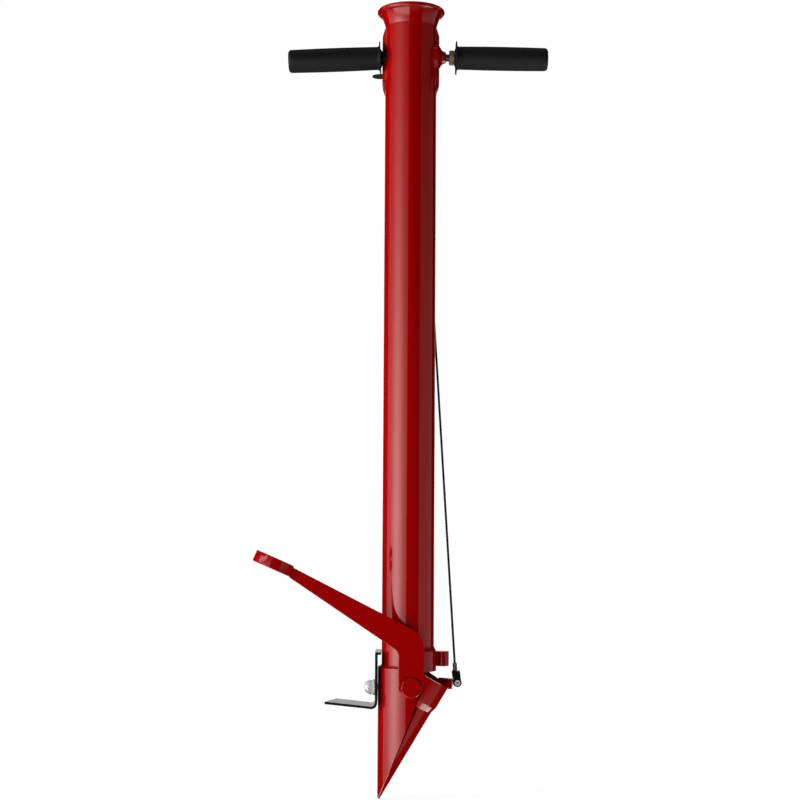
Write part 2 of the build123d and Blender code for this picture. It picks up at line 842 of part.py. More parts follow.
with BuildPart() as trigger_lever:
    with BuildSketch(lever_side):
        add(tapered_link(cable_pin_at, trigger_arm_radius))
        add(tapered_link(toggle_pin_at, toggle_eye_radius))
        Polygon(
            (-trigger_post_x, 0),
            (-trigger_post_left, trigger_post_shoulder),
            (-trigger_post_left, trigger_post_height),
            (-trigger_post_right, trigger_post_height),
            (trigger_brace_x, trigger_brace_height),
            (0, 0),
            align=None,
        )
        Circle(trigger_bush_radius + fit_gap, mode=Mode.SUBTRACT)
        with Locations(cable_pin_at):
            Circle(cable_pin_radius + fit_gap, mode=Mode.SUBTRACT)
        with Locations(toggle_pin_at):
            Circle(toggle_pin_radius + fit_gap, mode=Mode.SUBTRACT)
    extrude(amount=trigger_thickness)
    with BuildSketch(tab_plane):
        Polygon(
            (tab_tip_x, tab_near_y),
            (-tab_root_reach, tab_near_y),
            (-trigger_post_right, lever_far),
            (-trigger_post_left, lever_far),
            (-trigger_post_left, tab_far_y),
            (tab_tip_x, tab_far_y),
            align=None,
        )
        with Locations((tab_tip_x, tab_near_y + tab_width / 2)):
            Circle(tab_width / 2)
    extrude(amount=-tab_thickness)

with BuildPart() as trigger_boss:
    with BuildSketch(facing(trigger_x, trigger_z, far, 0)):
        Circle(trigger_boss_radius)
    extrude(amount=lever_near - run_gap)
    with BuildSketch(Plane.XY.offset(trigger_z)):
        Circle(saddle_radius + weld_gap)
    extrude(amount=2 * trigger_boss_radius, both=True, mode=Mode.SUBTRACT)
    with BuildSketch(facing(trigger_x, trigger_z, far, bolt_start - fit_gap)):
        Circle(trigger_bolt_radius + fit_gap)
    extrude(amount=lever_near, mode=Mode.SUBTRACT)

with BuildPart() as trigger_bolt:
    with BuildSketch(facing(trigger_x, trigger_z, far, bolt_start)):
        Circle(trigger_bolt_radius)
    extrude(amount=bolt_end - bolt_start)
    with BuildSketch(facing(trigger_x, trigger_z, far, bolt_head_face + fit_gap)):
        RegularPolygon(trigger_bolt_width / 2, 6, major_radius=False)
    extrude(amount=trigger_bolt_head - fit_gap)

with BuildPart() as trigger_washer:
    with BuildSketch(facing(trigger_x, trigger_z, far, washer_face)):
        Circle(trigger_washer_radius)
        Circle(trigger_bolt_radius + fit_gap, mode=Mode.SUBTRACT)
    extrude(amount=trigger_washer_thickness)

with BuildPart() as trigger_bush:
    with BuildSketch(facing(trigger_x, trigger_z, far, lever_near)):
        Circle(trigger_bush_radius)
        Circle(trigger_bolt_radius + fit_gap, mode=Mode.SUBTRACT)
    extrude(amount=trigger_thickness)

cable_pin_face = top_eye_y + top_eye_thickness / 2 + run_gap

with BuildPart() as cable_pin:
    with BuildSketch(facing(cable_pin_x, cable_pin_z, far, lever_near)):
        Circle(cable_pin_radius)
    extrude(amount=cable_pin_face - lever_near)
    with BuildSketch(facing(cable_pin_x, cable_pin_z, far, cable_pin_face)):
        Circle(cable_pin_head_radius)
    extrude(amount=cable_pin_head_thickness)

# Over-centre spring between a fixed post and a pin on the rocker
toggle_y = bolt_end + toggle_spring_gap + toggle_coil_radius + toggle_wire_radius
toggle_head_face = toggle_y + toggle_wire_radius + run_gap
toggle_low = Vector(trigger_x + toggle_pin_at[0], toggle_y, trigger_z + toggle_pin_at[1])
toggle_high = Vector(trigger_x, toggle_y, handle_height - toggle_post_drop)

with BuildPart() as toggle_pin:
    with BuildSketch(facing(toggle_low.X, toggle_low.Z, far, lever_near)):
        Circle(toggle_pin_radius)
    extrude(amount=toggle_head_face - lever_near)
    with BuildSketch(facing(toggle_low.X, toggle_low.Z, far, toggle_head_face)):
        Circle(toggle_head_radius)
    extrude(amount=toggle_head_thickness)

with BuildPart() as toggle_post:
    with BuildSketch(facing(toggle_high.X, toggle_high.Z, far, 0)):
        Circle(toggle_pin_radius)
    extrude(amount=toggle_head_face)
    with BuildSketch(Plane.XY.offset(toggle_high.Z)):
        Circle(saddle_radius + weld_gap)
    extrude(amount=2 * toggle_pin_radius, both=True, mode=Mode.SUBTRACT)
    with BuildSketch(facing(toggle_high.X, toggle_high.Z, far, toggle_head_face)):
        Circle(toggle_head_radius)
    extrude(amount=toggle_head_thickness)


def biarc(start, start_way, end, end_way):
    """Two arcs that leave one point along a direction and reach another along its own."""
    chord = end - start
    square = 2 * (start_way.dot(end_way) - 1)
    linear = -2 * chord.dot(start_way + end_way)
    root = math.sqrt(linear**2 - 4 * square * chord.dot(chord))
    reach = (-linear - root) / (2 * square)
    middle = (start + end + (start_way - end_way) * reach) * 0.5
    middle_way = (end - end_way * reach) - (start + start_way * reach)
    TangentArc(start, middle, tangent=start_way)
    TangentArc(middle, end, tangent=middle_way)


def least_gap(line, wire_radius):
    """Least free gap between stretches of a wire that lie well apart along it."""
    step = wire_radius / 2
    count = int(line.length / step)
    points = [line @ (i / count) for i in range(count + 1)]
    apart = int(math.pi * 2 * wire_radius / step)
    pairs = ((points[i], points[j]) for i in range(count + 1) for j in range(i + apart, count + 1))
    return min((first - second).length for first, second in pairs) - 2 * wire_radius


toggle_line = toggle_high - toggle_low
toggle_up = toggle_line.normalized()
toggle_right = Vector(toggle_up.Z, 0, -toggle_up.X)
toggle_deep = Vector(0, 1, 0)
toggle_coil_start = (toggle_line.length - toggle_pitch * toggle_turns) / 2
toggle_lead = toggle_coil_radius


def toggle_point(turn):
    """Point on the over-centre spring's coil, which starts a quarter turn round from its lower hook."""
    angle = 2 * math.pi * (turn + 0.25)
    across = toggle_right * math.cos(angle) + toggle_deep * math.sin(angle)
    return toggle_low + toggle_up * (toggle_coil_start + toggle_pitch * turn) + across * toggle_coil_radius


def toggle_way(turn):
    """Direction of the wire at that point."""
    angle = 2 * math.pi * (turn + 0.25)
    around = toggle_deep * math.cos(angle) - toggle_right * math.sin(angle)
    return (around * 2 * math.pi * toggle_coil_radius + toggle_up * toggle_pitch).normalized()


def hook_point(centre, degrees):
    """Point on the round of a hook about a pin's centre."""
    angle = math.radians(degrees)
    return centre + (toggle_right * math.cos(angle) + toggle_up * math.sin(angle)) * toggle_hook_radius


with BuildPart() as toggle_spring:
    with BuildLine() as toggle_wire:
        low_end = hook_point(toggle_low, -toggle_hook_angle)
        low_side = hook_point(toggle_low, 0)
        ThreePointArc(low_end, hook_point(toggle_low, -toggle_hook_angle / 2), low_side)
        low_lead = low_side + toggle_up * (toggle_coil_start - toggle_lead)
        Line(low_side, low_lead)
        biarc(low_lead, toggle_up, toggle_point(0), toggle_way(0))
        for half in range(2 * toggle_turns):
            turn, next_turn = half / 2, (half + 1) / 2
            biarc(toggle_point(turn), toggle_way(turn), toggle_point(next_turn), toggle_way(next_turn))
        high_side = hook_point(toggle_high, 180)
        high_lead = high_side - toggle_up * (toggle_coil_start - toggle_lead)
        biarc(toggle_point(toggle_turns), toggle_way(toggle_turns), high_lead, toggle_up)
        Line(high_lead, high_side)
        high_end = hook_point(toggle_high, 180 - toggle_hook_angle)
        ThreePointArc(high_side, hook_point(toggle_high, 180 - toggle_hook_angle / 2), high_end)
    with BuildSketch(Plane(origin=toggle_wire.line @ 0, z_dir=toggle_wire.line % 0)):
        Circle(toggle_wire_radius)
    sweep()
print("toggle_spring least gap", round(least_gap(toggle_wire.wire(), toggle_wire_radius), 2))


# Closing spring on the far pivot, with the two pins that its legs bear on
def spring_point(quarter):
    """Point on the closing spring's coil, counted in quarter turns from its top."""
    angle = math.pi / 2 * (quarter + 1)
    across = Vector(math.cos(angle), 0, math.sin(angle)) * spring_coil_radius
    return Vector(pivot_x, spring_start + spring_pitch * quarter / 4, pivot_z) + across


def spring_way(quarter):
    """Direction of the wire at that point."""
    angle = math.pi / 2 * (quarter + 1)
    around = Vector(-math.sin(angle), 0, math.cos(angle)) * (2 * math.pi * spring_coil_radius)
    return (around + Vector(0, spring_pitch, 0)).normalized()


spring_leg_end = spring_point(spring_quarters) + spring_way(spring_quarters) * spring_anchor_leg

with BuildPart() as closing_spring:
    with BuildLine() as spring_wire:
        Line(spring_point(0) - spring_way(0) * spring_catch_leg, spring_point(0))
        for quarter in range(spring_quarters):
            biarc(spring_point(quarter), spring_way(quarter), spring_point(quarter + 1), spring_way(quarter + 1))
        Line(spring_point(spring_quarters), spring_leg_end)
    with BuildSketch(Plane(origin=spring_wire.line @ 0, z_dir=spring_wire.line % 0)):
        Circle(spring_wire_radius)
    sweep()
print("closing_spring least gap", round(least_gap(spring_wire.wire(), spring_wire_radius), 2))

spring_pin_offset = spring_coil_radius - spring_wire_radius - spring_pin_gap - spring_pin_radius
anchor_x = pivot_x + spring_pin_offset
anchor_z = pivot_z + spring_anchor_height
anchor_end = spring_leg_end.Y + spring_wire_radius + spring_pin_overhang
catch_x = pivot_x + spring_catch_x
catch_z = pivot_z + spring_pin_offset
catch_end = spring_start + spring_wire_radius + spring_pin_overhang

with BuildPart() as spring_anchor:
    with BuildSketch(facing(anchor_x, anchor_z, far, 0)):
        Circle(spring_pin_radius)
    extrude(amount=anchor_end)
    with BuildSketch(Plane.XY.offset(anchor_z)):
        Circle(tube_radius + weld_gap)
    extrude(amount=2 * spring_pin_radius, both=True, mode=Mode.SUBTRACT)

with BuildPart() as spring_catch:
    with BuildSketch(facing(catch_x, catch_z, far, 0)):
        Circle(spring_pin_radius)
    extrude(amount=catch_end)
    with BuildSketch(jaw_axis):
        Circle(collar_radius + weld_gap)
    extrude(amount=beyond, both=True, mode=Mode.SUBTRACT)

# Depth stop, clamped to the fixed jaw
strip_inner = -jaw_radius - stop_plate_gap
strip_outer = strip_inner - stop_plate_thickness
hook_low = stop_hook_top - stop_plate_thickness
bend_turn = 90 + stop_plate_tilt
stop_stud_z = -depth_stud_drop
slot_middle = stop_stud_z + (stop_travel_down - stop_travel_up) / 2
slot_width = 2 * (depth_stud_radius + stop_slot_gap)

with BuildPart() as depth_stop:
    with BuildSketch(Plane.XZ):
        with BuildLine():
            hook_end = -tube_radius - stop_plate_gap
            inner = Polyline((hook_end, hook_low), (strip_inner, hook_low), (strip_inner, stop_bend_z))
            outer = Polyline((hook_end, stop_hook_top), (strip_outer, stop_hook_top), (strip_outer, stop_bend_z))
            under = JernArc(inner @ 1, (0, -1), stop_bend_inner + stop_plate_thickness, -bend_turn)
            over = JernArc(outer @ 1, (0, -1), stop_bend_inner, -bend_turn)
            plate_way = (under % 1) * stop_plate_reach
            under_plate = Line(under @ 1, under @ 1 + plate_way)
            over_plate = Line(over @ 1, over @ 1 + plate_way)
            Line(under_plate @ 1, over_plate @ 1)
            Line(inner @ 0, outer @ 0)
        make_face()
    extrude(amount=stop_plate_width / 2, both=True)
    plate_end = depth_stop.vertices().sort_by(Axis.X)[0].X
    with BuildSketch(Plane.XY.offset(stop_bend_z)):
        Polygon(
            (plate_end, -stop_plate_width / 2),
            (plate_end + stop_plate_slant, stop_plate_width / 2),
            (plate_end + stop_plate_slant, stop_plate_width),
            (-beyond, stop_plate_width),
            (-beyond, -stop_plate_width / 2),
            align=None,
        )
    extrude(amount=stop_plate_width, both=True, mode=Mode.SUBTRACT)
    with BuildSketch(Plane.YZ):
        with Locations((0, slot_middle)):
            SlotCenterToCenter(stop_travel_up + stop_travel_down, slot_width, rotation=90)
    extrude(amount=-beyond, mode=Mode.SUBTRACT)


def facing_left(distance):
    """Plane on the depth stop's stud that faces away from the tube."""
    return Plane(origin=(-distance, 0, stop_stud_z), x_dir=(0, -1, 0), z_dir=(-1, 0, 0))


washer_start = -strip_outer + run_gap
depth_nut_start = washer_start + depth_washer_thickness
depth_nut_end = depth_nut_start + depth_nut_height + depth_dome_height

with BuildPart() as depth_stud:
    with BuildSketch(facing_left(0)):
        Circle(depth_stud_radius)
    extrude(amount=depth_nut_end - depth_nut_end_wall - fit_gap)
    with BuildSketch(Plane.XY.offset(stop_stud_z)):
        Circle(jaw_radius + weld_gap)
    extrude(amount=2 * depth_stud_radius, both=True, mode=Mode.SUBTRACT)

with BuildPart() as depth_washer:
    with BuildSketch(facing_left(washer_start)):
        Circle(depth_washer_radius)
        Circle(depth_stud_radius + fit_gap, mode=Mode.SUBTRACT)
    extrude(amount=depth_washer_thickness)

with BuildPart() as depth_cap_nut:
    with BuildSketch(facing_left(depth_nut_start + depth_nut_height)):
        Circle(depth_dome_radius)
    extrude(amount=depth_dome_height)
    fillet(depth_cap_nut.edges().group_by(Axis.X)[0], radius=depth_dome_fillet)
    with BuildSketch(facing_left(depth_nut_start + fit_gap)):
        RegularPolygon(depth_nut_width / 2, 6, major_radius=False)
    extrude(amount=depth_nut_height - fit_gap)
    with BuildSketch(facing_left(depth_nut_start)):
        Circle(depth_stud_radius + fit_gap)
    extrude(amount=depth_nut_end - depth_nut_end_wall - depth_nut_start, mode=Mode.SUBTRACT)

pieces = {
    "main_tube": main_tube,
    "handle_saddle": handle_saddle,
    "right_handle_boss": right_handle_boss,
    "left_handle_bar": left_handle_bar,
    "right_handle_bar": right_handle_bar,
    "right_stud": right_stud,
    "right_jam_nut": right_jam_nut,
    "left_grip": left_grip,
    "right_grip": right_grip,
    "fixed_jaw": fixed_jaw,
    "stop_bracket": stop_bracket,
    "stop_boss": stop_boss,
    "near_trunnion": near_trunnion,
    "far_trunnion": far_trunnion,
    "near_pivot_cap": near_pivot_cap,
    "far_spool": far_spool,
    "near_bush": near_bush,
    "far_bush": far_bush,
    "closing_spring": closing_spring,
    "spring_anchor": spring_anchor,
    "jaw_collar": jaw_collar,
    "jaw_shell": jaw_shell,
    "far_eye": far_eye,
    "pedal_arm": pedal_arm,
    "pedal_ring": pedal_ring,
    "jaw_lug": jaw_lug,
    "spring_catch": spring_catch,
    "cable_eye_bolt": cable_eye_bolt,
    "cable_eye_nut": cable_eye_nut,
    "cable": cable,
    "cable_ferrule": cable_ferrule,
    "cable_clevis": cable_clevis,
    "clevis_pin": clevis_pin,
    "cable_top_eye": cable_top_eye,
    "trigger_lever": trigger_lever,
    "trigger_boss": trigger_boss,
    "trigger_bolt": trigger_bolt,
    "trigger_washer": trigger_washer,
    "trigger_bush": trigger_bush,
    "cable_pin": cable_pin,
    "toggle_pin": toggle_pin,
    "toggle_post": toggle_post,
    "toggle_spring": toggle_spring,
    "depth_stop": depth_stop,
    "depth_stud": depth_stud,
    "depth_washer": depth_washer,
    "depth_cap_nut": depth_cap_nut,
}

os.makedirs("parts", exist_ok=True)
for name, piece in pieces.items():
    piece.part.label = name
    export_step(piece.part, f"parts/{name}.step")
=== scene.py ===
"""Looks of the planting tube: its finishes, eased edges, grips, springs, wire rope, threads and welds."""

import logging
from dataclasses import dataclass
from enum import Enum
from functools import cache
from math import atan2, cos, degrees, exp, pi, radians, sin, sqrt, tau
from typing import Any, Sequence

import bpy
from mathutils import Matrix, Vector
from mathutils.geometry import interpolate_bezier


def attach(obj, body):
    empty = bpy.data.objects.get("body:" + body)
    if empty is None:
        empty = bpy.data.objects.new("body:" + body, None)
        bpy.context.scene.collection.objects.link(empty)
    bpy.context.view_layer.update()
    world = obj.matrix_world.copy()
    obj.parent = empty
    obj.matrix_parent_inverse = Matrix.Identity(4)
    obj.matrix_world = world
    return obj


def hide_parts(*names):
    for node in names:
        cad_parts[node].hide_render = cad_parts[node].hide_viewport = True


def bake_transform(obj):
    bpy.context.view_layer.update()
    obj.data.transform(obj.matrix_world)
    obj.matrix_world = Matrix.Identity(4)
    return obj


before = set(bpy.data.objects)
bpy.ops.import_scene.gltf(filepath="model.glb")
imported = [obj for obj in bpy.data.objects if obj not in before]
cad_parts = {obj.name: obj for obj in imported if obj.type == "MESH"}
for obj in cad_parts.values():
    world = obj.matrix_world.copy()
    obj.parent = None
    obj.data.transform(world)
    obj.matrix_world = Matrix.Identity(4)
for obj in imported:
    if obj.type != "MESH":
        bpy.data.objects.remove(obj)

log = logging.getLogger("planting_tube")
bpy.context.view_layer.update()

Pair = tuple[float, float]
Triple = tuple[float, float, float]
Piece = bpy.types.Object
Tree = bpy.types.NodeTree
Socket = bpy.types.NodeSocket

# Millimetres in a metre.
METRE = 1000.0
# Distances in metres at which points of a new mesh, and of a solid's mesh, become one.
MERGE = 1e-6
SOLID_MERGE = 2e-6
# Angles in degrees between faces: those that count as one flat face, and those whose edge gets rounded.
FLAT = 0.2
ROUNDED = 32.0
# Angles in degrees from which an edge stays sharp in the shading, on chamfers, rounded pieces and wire.
CHAMFER_CREASE = 30.0
ROUNDED_CREASE = 40.0
WIRE_CREASE = 60.0
# Faces round a turned cutter.
CUTTER_STEPS = 72
# Foot and direction of the tube's axis.
TUBE_AXIS = ((0.0, 0.0, 0.0), (0.0, 0.0, 1.0))


class Slot(Enum):
    """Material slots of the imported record."""

    RED_PAINT = "red_paint"
    BLACK_METAL = "black_metal"
    BLACK_GRIP = "black_grip"
    BRIGHT_STEEL = "bright_steel"
    YELLOW_ZINC = "yellow_zinc"
    BUSH_BRASS = "bush_brass"
    SPRING_STEEL = "spring_steel"
    WIRE_ROPE = "wire_rope"


class Body(Enum):
    """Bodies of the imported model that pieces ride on."""

    FRAME = "frame"
    JAW = "jaw"
    CABLE = "cable"
    TRIGGER = "trigger"
    TOGGLE_SPRING = "toggle_spring"
    DEPTH_STOP = "depth_stop"


def linear(colour: str) -> tuple[float, float, float, float]:
    """Turn a written sRGB colour into linear light.

    Args:
        colour: Six hex digits after a hash.

    Returns:
        Red, green, blue and an alpha of 1.
    """
    shares = [int(colour[i : i + 2], 16) / 255 for i in (1, 3, 5)]
    red, green, blue = (s / 12.92 if s <= 0.04045 else ((s + 0.055) / 1.055) ** 2.4 for s in shares)
    return red, green, blue, 1.0


def add_node(
    tree: Tree, kind: str, inputs: dict[str | int, Any] | None = None, **settings: Any
) -> bpy.types.Node:
    """Add a shader node with its settings, and set or link its inputs.

    Args:
        tree: Node tree that gets the node.
        kind: Blender's name for the node type, after ShaderNode.
        inputs: Value or output socket for each input, by name or place.
        **settings: Properties of the node itself.

    Returns:
        The new node.
    """
    node = tree.nodes.new("ShaderNode" + kind)
    for name, value in settings.items():
        setattr(node, name, value)
    for name, value in (inputs or {}).items():
        if isinstance(value, Socket):
            tree.links.new(value, node.inputs[name])
        else:
            node.inputs[name].default_value = value
    return node


@dataclass(frozen=True)
class Finish:
    """A surface whose colour drifts between two tones and whose grain stands up a little.

    Lengths are in millimetres and colours are written in sRGB.
    """

    name: str
    slot: Slot
    tones: tuple[str, str]
    drift: float
    roughness: Pair
    grain: float
    grain_height: float
    metallic: float = 0.0
    specular: float = 0.5

    def share(self, tree: Tree, place: Socket) -> Socket:
        """Share of the second tone at each point, as soft clouds."""
        clouds = {"Vector": place, "Scale": METRE / self.drift, "Detail": 3.0}
        return add_node(tree, "TexNoise", clouds).outputs["Fac"]

    @cache
    def material(self) -> bpy.types.Material:
        """Make the material, on the first call only.

        Returns:
            A node material on Object coordinates.
        """
        material = bpy.data.materials.new(self.name)
        material.use_nodes = True
        tree = material.node_tree
        tree.nodes.clear()
        place = add_node(tree, "TexCoord").outputs["Object"]
        share = self.share(tree, place)
        first, second = (linear(tone) for tone in self.tones)
        colour = add_node(tree, "Mix", {0: share, 6: first, 7: second}, data_type="RGBA")
        smooth, rough = self.roughness
        gloss = add_node(tree, "MapRange", {"Value": share, "To Min": smooth, "To Max": rough})
        pebble = {"Vector": place, "Scale": METRE / self.grain, "Detail": 1.0}
        height = add_node(tree, "TexNoise", pebble).outputs["Fac"]
        relief = {"Height": height, "Distance": self.grain_height / METRE, "Strength": 1.0}
        surface = {
            "Base Color": colour.outputs[2],
            "Roughness": gloss.outputs["Result"],
            "Normal": add_node(tree, "Bump", relief).outputs["Normal"],
            "Metallic": self.metallic,
            "Specular IOR Level": self.specular,
        }
        shader = add_node(tree, "BsdfPrincipled", surface)
        add_node(tree, "OutputMaterial", {"Surface": shader.outputs["BSDF"]})
        return material


@dataclass(frozen=True)
class PlatedFinish(Finish):
    """A plated metal, whose small crystals each take a slightly different tone."""

    def share(self, tree: Tree, place: Socket) -> Socket:
        """Share of the second tone, one value for each crystal."""
        cells = add_node(tree, "TexVoronoi", {"Vector": place, "Scale": METRE / self.drift})
        return add_node(tree, "RGBToBW", {"Color": cells.outputs["Color"]}).outputs["Val"]


class Finishes(Enum):
    """Finishes of the tool, named for what each one is."""

    # Baked enamel on steel: deep even red under a smooth gloss, with a trace of orange peel in it.
    GLOSS_ENAMEL = Finish(
        "baked_gloss_enamel", Slot.RED_PAINT, ("#AA0404", "#A20303"),
        drift=70.0, roughness=(0.045, 0.075), grain=2.2, grain_height=0.004
    )
    # Powder coat on steel: black with a soft satin sheen and a fine pebble, drawn a little coarse to show.
    SATIN_POWDER = Finish(
        "satin_black_powder_coat", Slot.BLACK_METAL, ("#0E0E10", "#141416"),
        drift=18.0, roughness=(0.2, 0.28), grain=0.7, grain_height=0.008
    )
    # Powder coat cured dull: black with hardly any sheen, so that it stays dark under the lamps.
    MATT_POWDER = Finish(
        "matt_black_powder_coat", Slot.BLACK_METAL, ("#0A0A0B", "#101011"),
        drift=18.0, roughness=(0.55, 0.66), grain=0.7, grain_height=0.006, specular=0.25
    )
    # Moulded PVC: soft black skin, smoother in patches, with a fine satin grain.
    MOULDED_PVC = Finish(
        "moulded_black_pvc", Slot.BLACK_GRIP, ("#08080A", "#0D0D0F"),
        drift=25.0, roughness=(0.5, 0.62), grain=0.6, grain_height=0.012, specular=0.3
    )
    # Bright zinc plate, near white with little metal sheen: its paleness is partly the zinc and partly
    # painted highlight, with small crystals in slightly different greys.
    BRIGHT_ZINC = PlatedFinish(
        "zinc_plate_and_painted_highlight", Slot.BRIGHT_STEEL, ("#FAFAFA", "#F0F1F2"),
        drift=2.4, roughness=(0.26, 0.34), grain=0.6, grain_height=0.002, metallic=0.15
    )
    # Plain drawn steel: mid grey with a clear metal sheen.
    DRAWN_STEEL = Finish(
        "plain_drawn_steel", Slot.BRIGHT_STEEL, ("#98999D", "#7C7D82"),
        drift=3.0, roughness=(0.22, 0.32), grain=0.4, grain_height=0.004, metallic=0.9
    )
    # Yellow passivated zinc: straw brown with small crystals towards olive.
    YELLOW_PASSIVATE = PlatedFinish(
        "yellow_passivated_zinc", Slot.YELLOW_ZINC, ("#86705A", "#65563F"),
        drift=1.4, roughness=(0.26, 0.38), grain=0.4, grain_height=0.006, metallic=0.6
    )
    # Turned bronze: warm brown gold with a fine grain.
    TURNED_BRONZE = Finish(
        "turned_bearing_bronze", Slot.BUSH_BRASS, ("#B8894A", "#9A7240"),
        drift=6.0, roughness=(0.25, 0.35), grain=0.3, grain_height=0.006, metallic=1.0
    )
    # Oil-tempered wire: dark blue grey with a thin film of oil.
    TEMPERED_WIRE = Finish(
        "oil_tempered_spring_wire", Slot.SPRING_STEEL, ("#74767B", "#5B5D62"),
        drift=5.0, roughness=(0.24, 0.36), grain=0.5, grain_height=0.006, metallic=1.0
    )
    # Galvanised wire rope: dull and dark, greyer in soft patches.
    GALVANISED_ROPE = Finish(
        "dark_galvanised_rope", Slot.WIRE_ROPE, ("#45464A", "#202022"),
        drift=4.5, roughness=(0.45, 0.6), grain=0.3, grain_height=0.02, metallic=0.5, specular=0.25
    )


def paint_solids(finish: Finishes, *nodes: str) -> None:
    """Put a finish on solids that stay as they are.

    Args:
        finish: The finish.
        *nodes: Names of the solids.
    """
    for node in nodes:
        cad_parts[node].data.materials[0] = finish.value.material()
        log.info("solid %s: %s", node, finish.value.name)


def fit(piece: Piece, name: str, body: Body | None, finish: Finishes, *replaced: str) -> None:
    """Name a piece, put its finish on it, and let it stand for solids and ride on a body.

    Args:
        piece: The finished mesh.
        name: Its name.
        body: Body that it moves with, or None for a piece that rides on no body.
        finish: Its finish.
        *replaced: Names of the solids, if any.
    """
    piece.name = name
    piece.data.materials.clear()
    piece.data.materials.append(finish.value.material())
    if replaced:
        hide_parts(*replaced)
    if body:
        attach(piece, body.value)
    log.info("piece %s: %d faces", name, len(piece.data.polygons))


def pick(*pieces: Piece) -> None:
    """Go to object mode, select pieces alone and make the first of them active.

    Args:
        *pieces: The pieces, or none when an operator is about to add one.
    """
    if bpy.context.mode != "OBJECT":
        bpy.ops.object.mode_set(mode="OBJECT")
    bpy.ops.object.select_all(action="DESELECT")
    for piece in pieces:
        piece.select_set(True)
    if pieces:
        bpy.context.view_layer.objects.active = pieces[0]


def apply_modifier(piece: Piece, kind: str, **settings: Any) -> None:
    """Add a modifier with its settings and apply it.

    Args:
        piece: Mesh object.
        kind: Blender's name for the modifier type.
        **settings: Properties of the modifier.
    """
    pick(piece)
    modifier = piece.modifiers.new(kind.lower(), kind)
    for name, value in settings.items():
        setattr(modifier, name, value)
    bpy.ops.object.modifier_apply(modifier=modifier.name)


def cut(piece: Piece, tool: Piece, operation: str) -> None:
    """Cut a closed piece with another by one of Blender's boolean operations, and take the tool away."""
    apply_modifier(piece, "BOOLEAN", operation=operation, object=tool, solver="EXACT")
    bpy.data.objects.remove(tool)


def shade(piece: Piece, crease: float) -> None:
    """Shade a piece smooth, apart from edges sharper than an angle in degrees."""
    pick(piece)
    bpy.ops.object.shade_smooth_by_angle(angle=radians(crease))


def settle(piece: Piece) -> None:
    """Put a piece's place and turn into its mesh, so that its object sits at the origin."""
    pick(piece)
    bpy.ops.object.transform_apply(location=True, rotation=True, scale=True)


def join(*pieces: Piece) -> None:
    """Join pieces into the first of them."""
    pick(*pieces)
    bpy.ops.object.join()


def ease(piece: Piece, width: float, segments: int = 2) -> None:
    """Round the sharp edges of a piece and shade it.

    Args:
        piece: Mesh object.
        width: Width of the rounding in millimetres.
        segments: Faces across the rounding.
    """
    sharp = {"limit_method": "ANGLE", "angle_limit": radians(ROUNDED)}
    apply_modifier(piece, "BEVEL", width=width / METRE, segments=segments, **sharp)
    shade(piece, ROUNDED_CREASE)
    apply_modifier(piece, "WEIGHTED_NORMAL", keep_sharp=True)


def copy_solid(node: str) -> Piece:
    """Copy a solid, with its triangles made into whole faces.

    Args:
        node: Name of the solid.

    Returns:
        A new mesh object in the same place.
    """
    piece = bpy.data.objects.new(node + "_eased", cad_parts[node].data.copy())
    bpy.context.scene.collection.objects.link(piece)
    pick(piece)
    bpy.ops.mesh.customdata_custom_splitnormals_clear()
    bpy.ops.object.mode_set(mode="EDIT")
    bpy.ops.mesh.select_all(action="SELECT")
    bpy.ops.mesh.remove_doubles(threshold=SOLID_MERGE)
    bpy.ops.mesh.dissolve_limited(angle_limit=radians(FLAT))
    bpy.ops.object.mode_set(mode="OBJECT")
    return piece


def fit_eased(edges: dict[str, float], suffix: str, body: Body, finish: Finishes, segments: int = 2) -> None:
    """Fit copies of solids in their places, with rounded edges.

    Args:
        edges: Width of the rounding in millimetres, by name of the solid.
        suffix: What the copies' names add to the solids'.
        body: Body that the copies move with.
        finish: Their finish.
        segments: Faces across the rounding.
    """
    for node, width in edges.items():
        piece = copy_solid(node)
        ease(piece, width, segments)
        fit(piece, node + suffix, body, finish, node)


def spaced(start: float, end: float, steps: int) -> list[float]:
    """Evenly spaced values from start to end."""
    return [start + (end - start) * i / steps for i in range(steps + 1)]


def polar(radius: float, angle: float) -> Pair:
    """Point at a radius and an angle in degrees from the first axis."""
    turn = radians(angle)
    return radius * cos(turn), radius * sin(turn)


def arc(centre: Pair, radius: float, start: float, end: float, steps: int = 6) -> list[Pair]:
    """Points along an arc in so many steps, from one angle in degrees to another."""
    offsets = [polar(radius, angle) for angle in spaced(start, end, steps)]
    return [(centre[0] + x, centre[1] + y) for x, y in offsets]


def trace(points: Sequence[Vector]) -> Piece:
    """Extrude a line of edges through points, and leave it selected in edit mode.

    Args:
        points: Points in metres.

    Returns:
        A new mesh object.
    """
    pick()
    bpy.ops.mesh.primitive_plane_add()
    piece = bpy.context.object
    bpy.ops.object.mode_set(mode="EDIT")
    bpy.ops.mesh.select_all(action="SELECT")
    bpy.ops.mesh.merge(type="CENTER")
    bpy.ops.transform.translate(value=points[0])
    for start, end in zip(points, points[1:]):
        bpy.ops.mesh.extrude_region_move(TRANSFORM_OT_translate={"value": end - start})
    bpy.ops.mesh.select_all(action="SELECT")
    return piece


def close_mesh() -> None:
    """Merge the points of the mesh in edit mode, turn its faces outwards and leave edit mode."""
    bpy.ops.mesh.select_all(action="SELECT")
    bpy.ops.mesh.remove_doubles(threshold=MERGE)
    bpy.ops.mesh.normals_make_consistent(inside=False)
    bpy.ops.object.mode_set(mode="OBJECT")


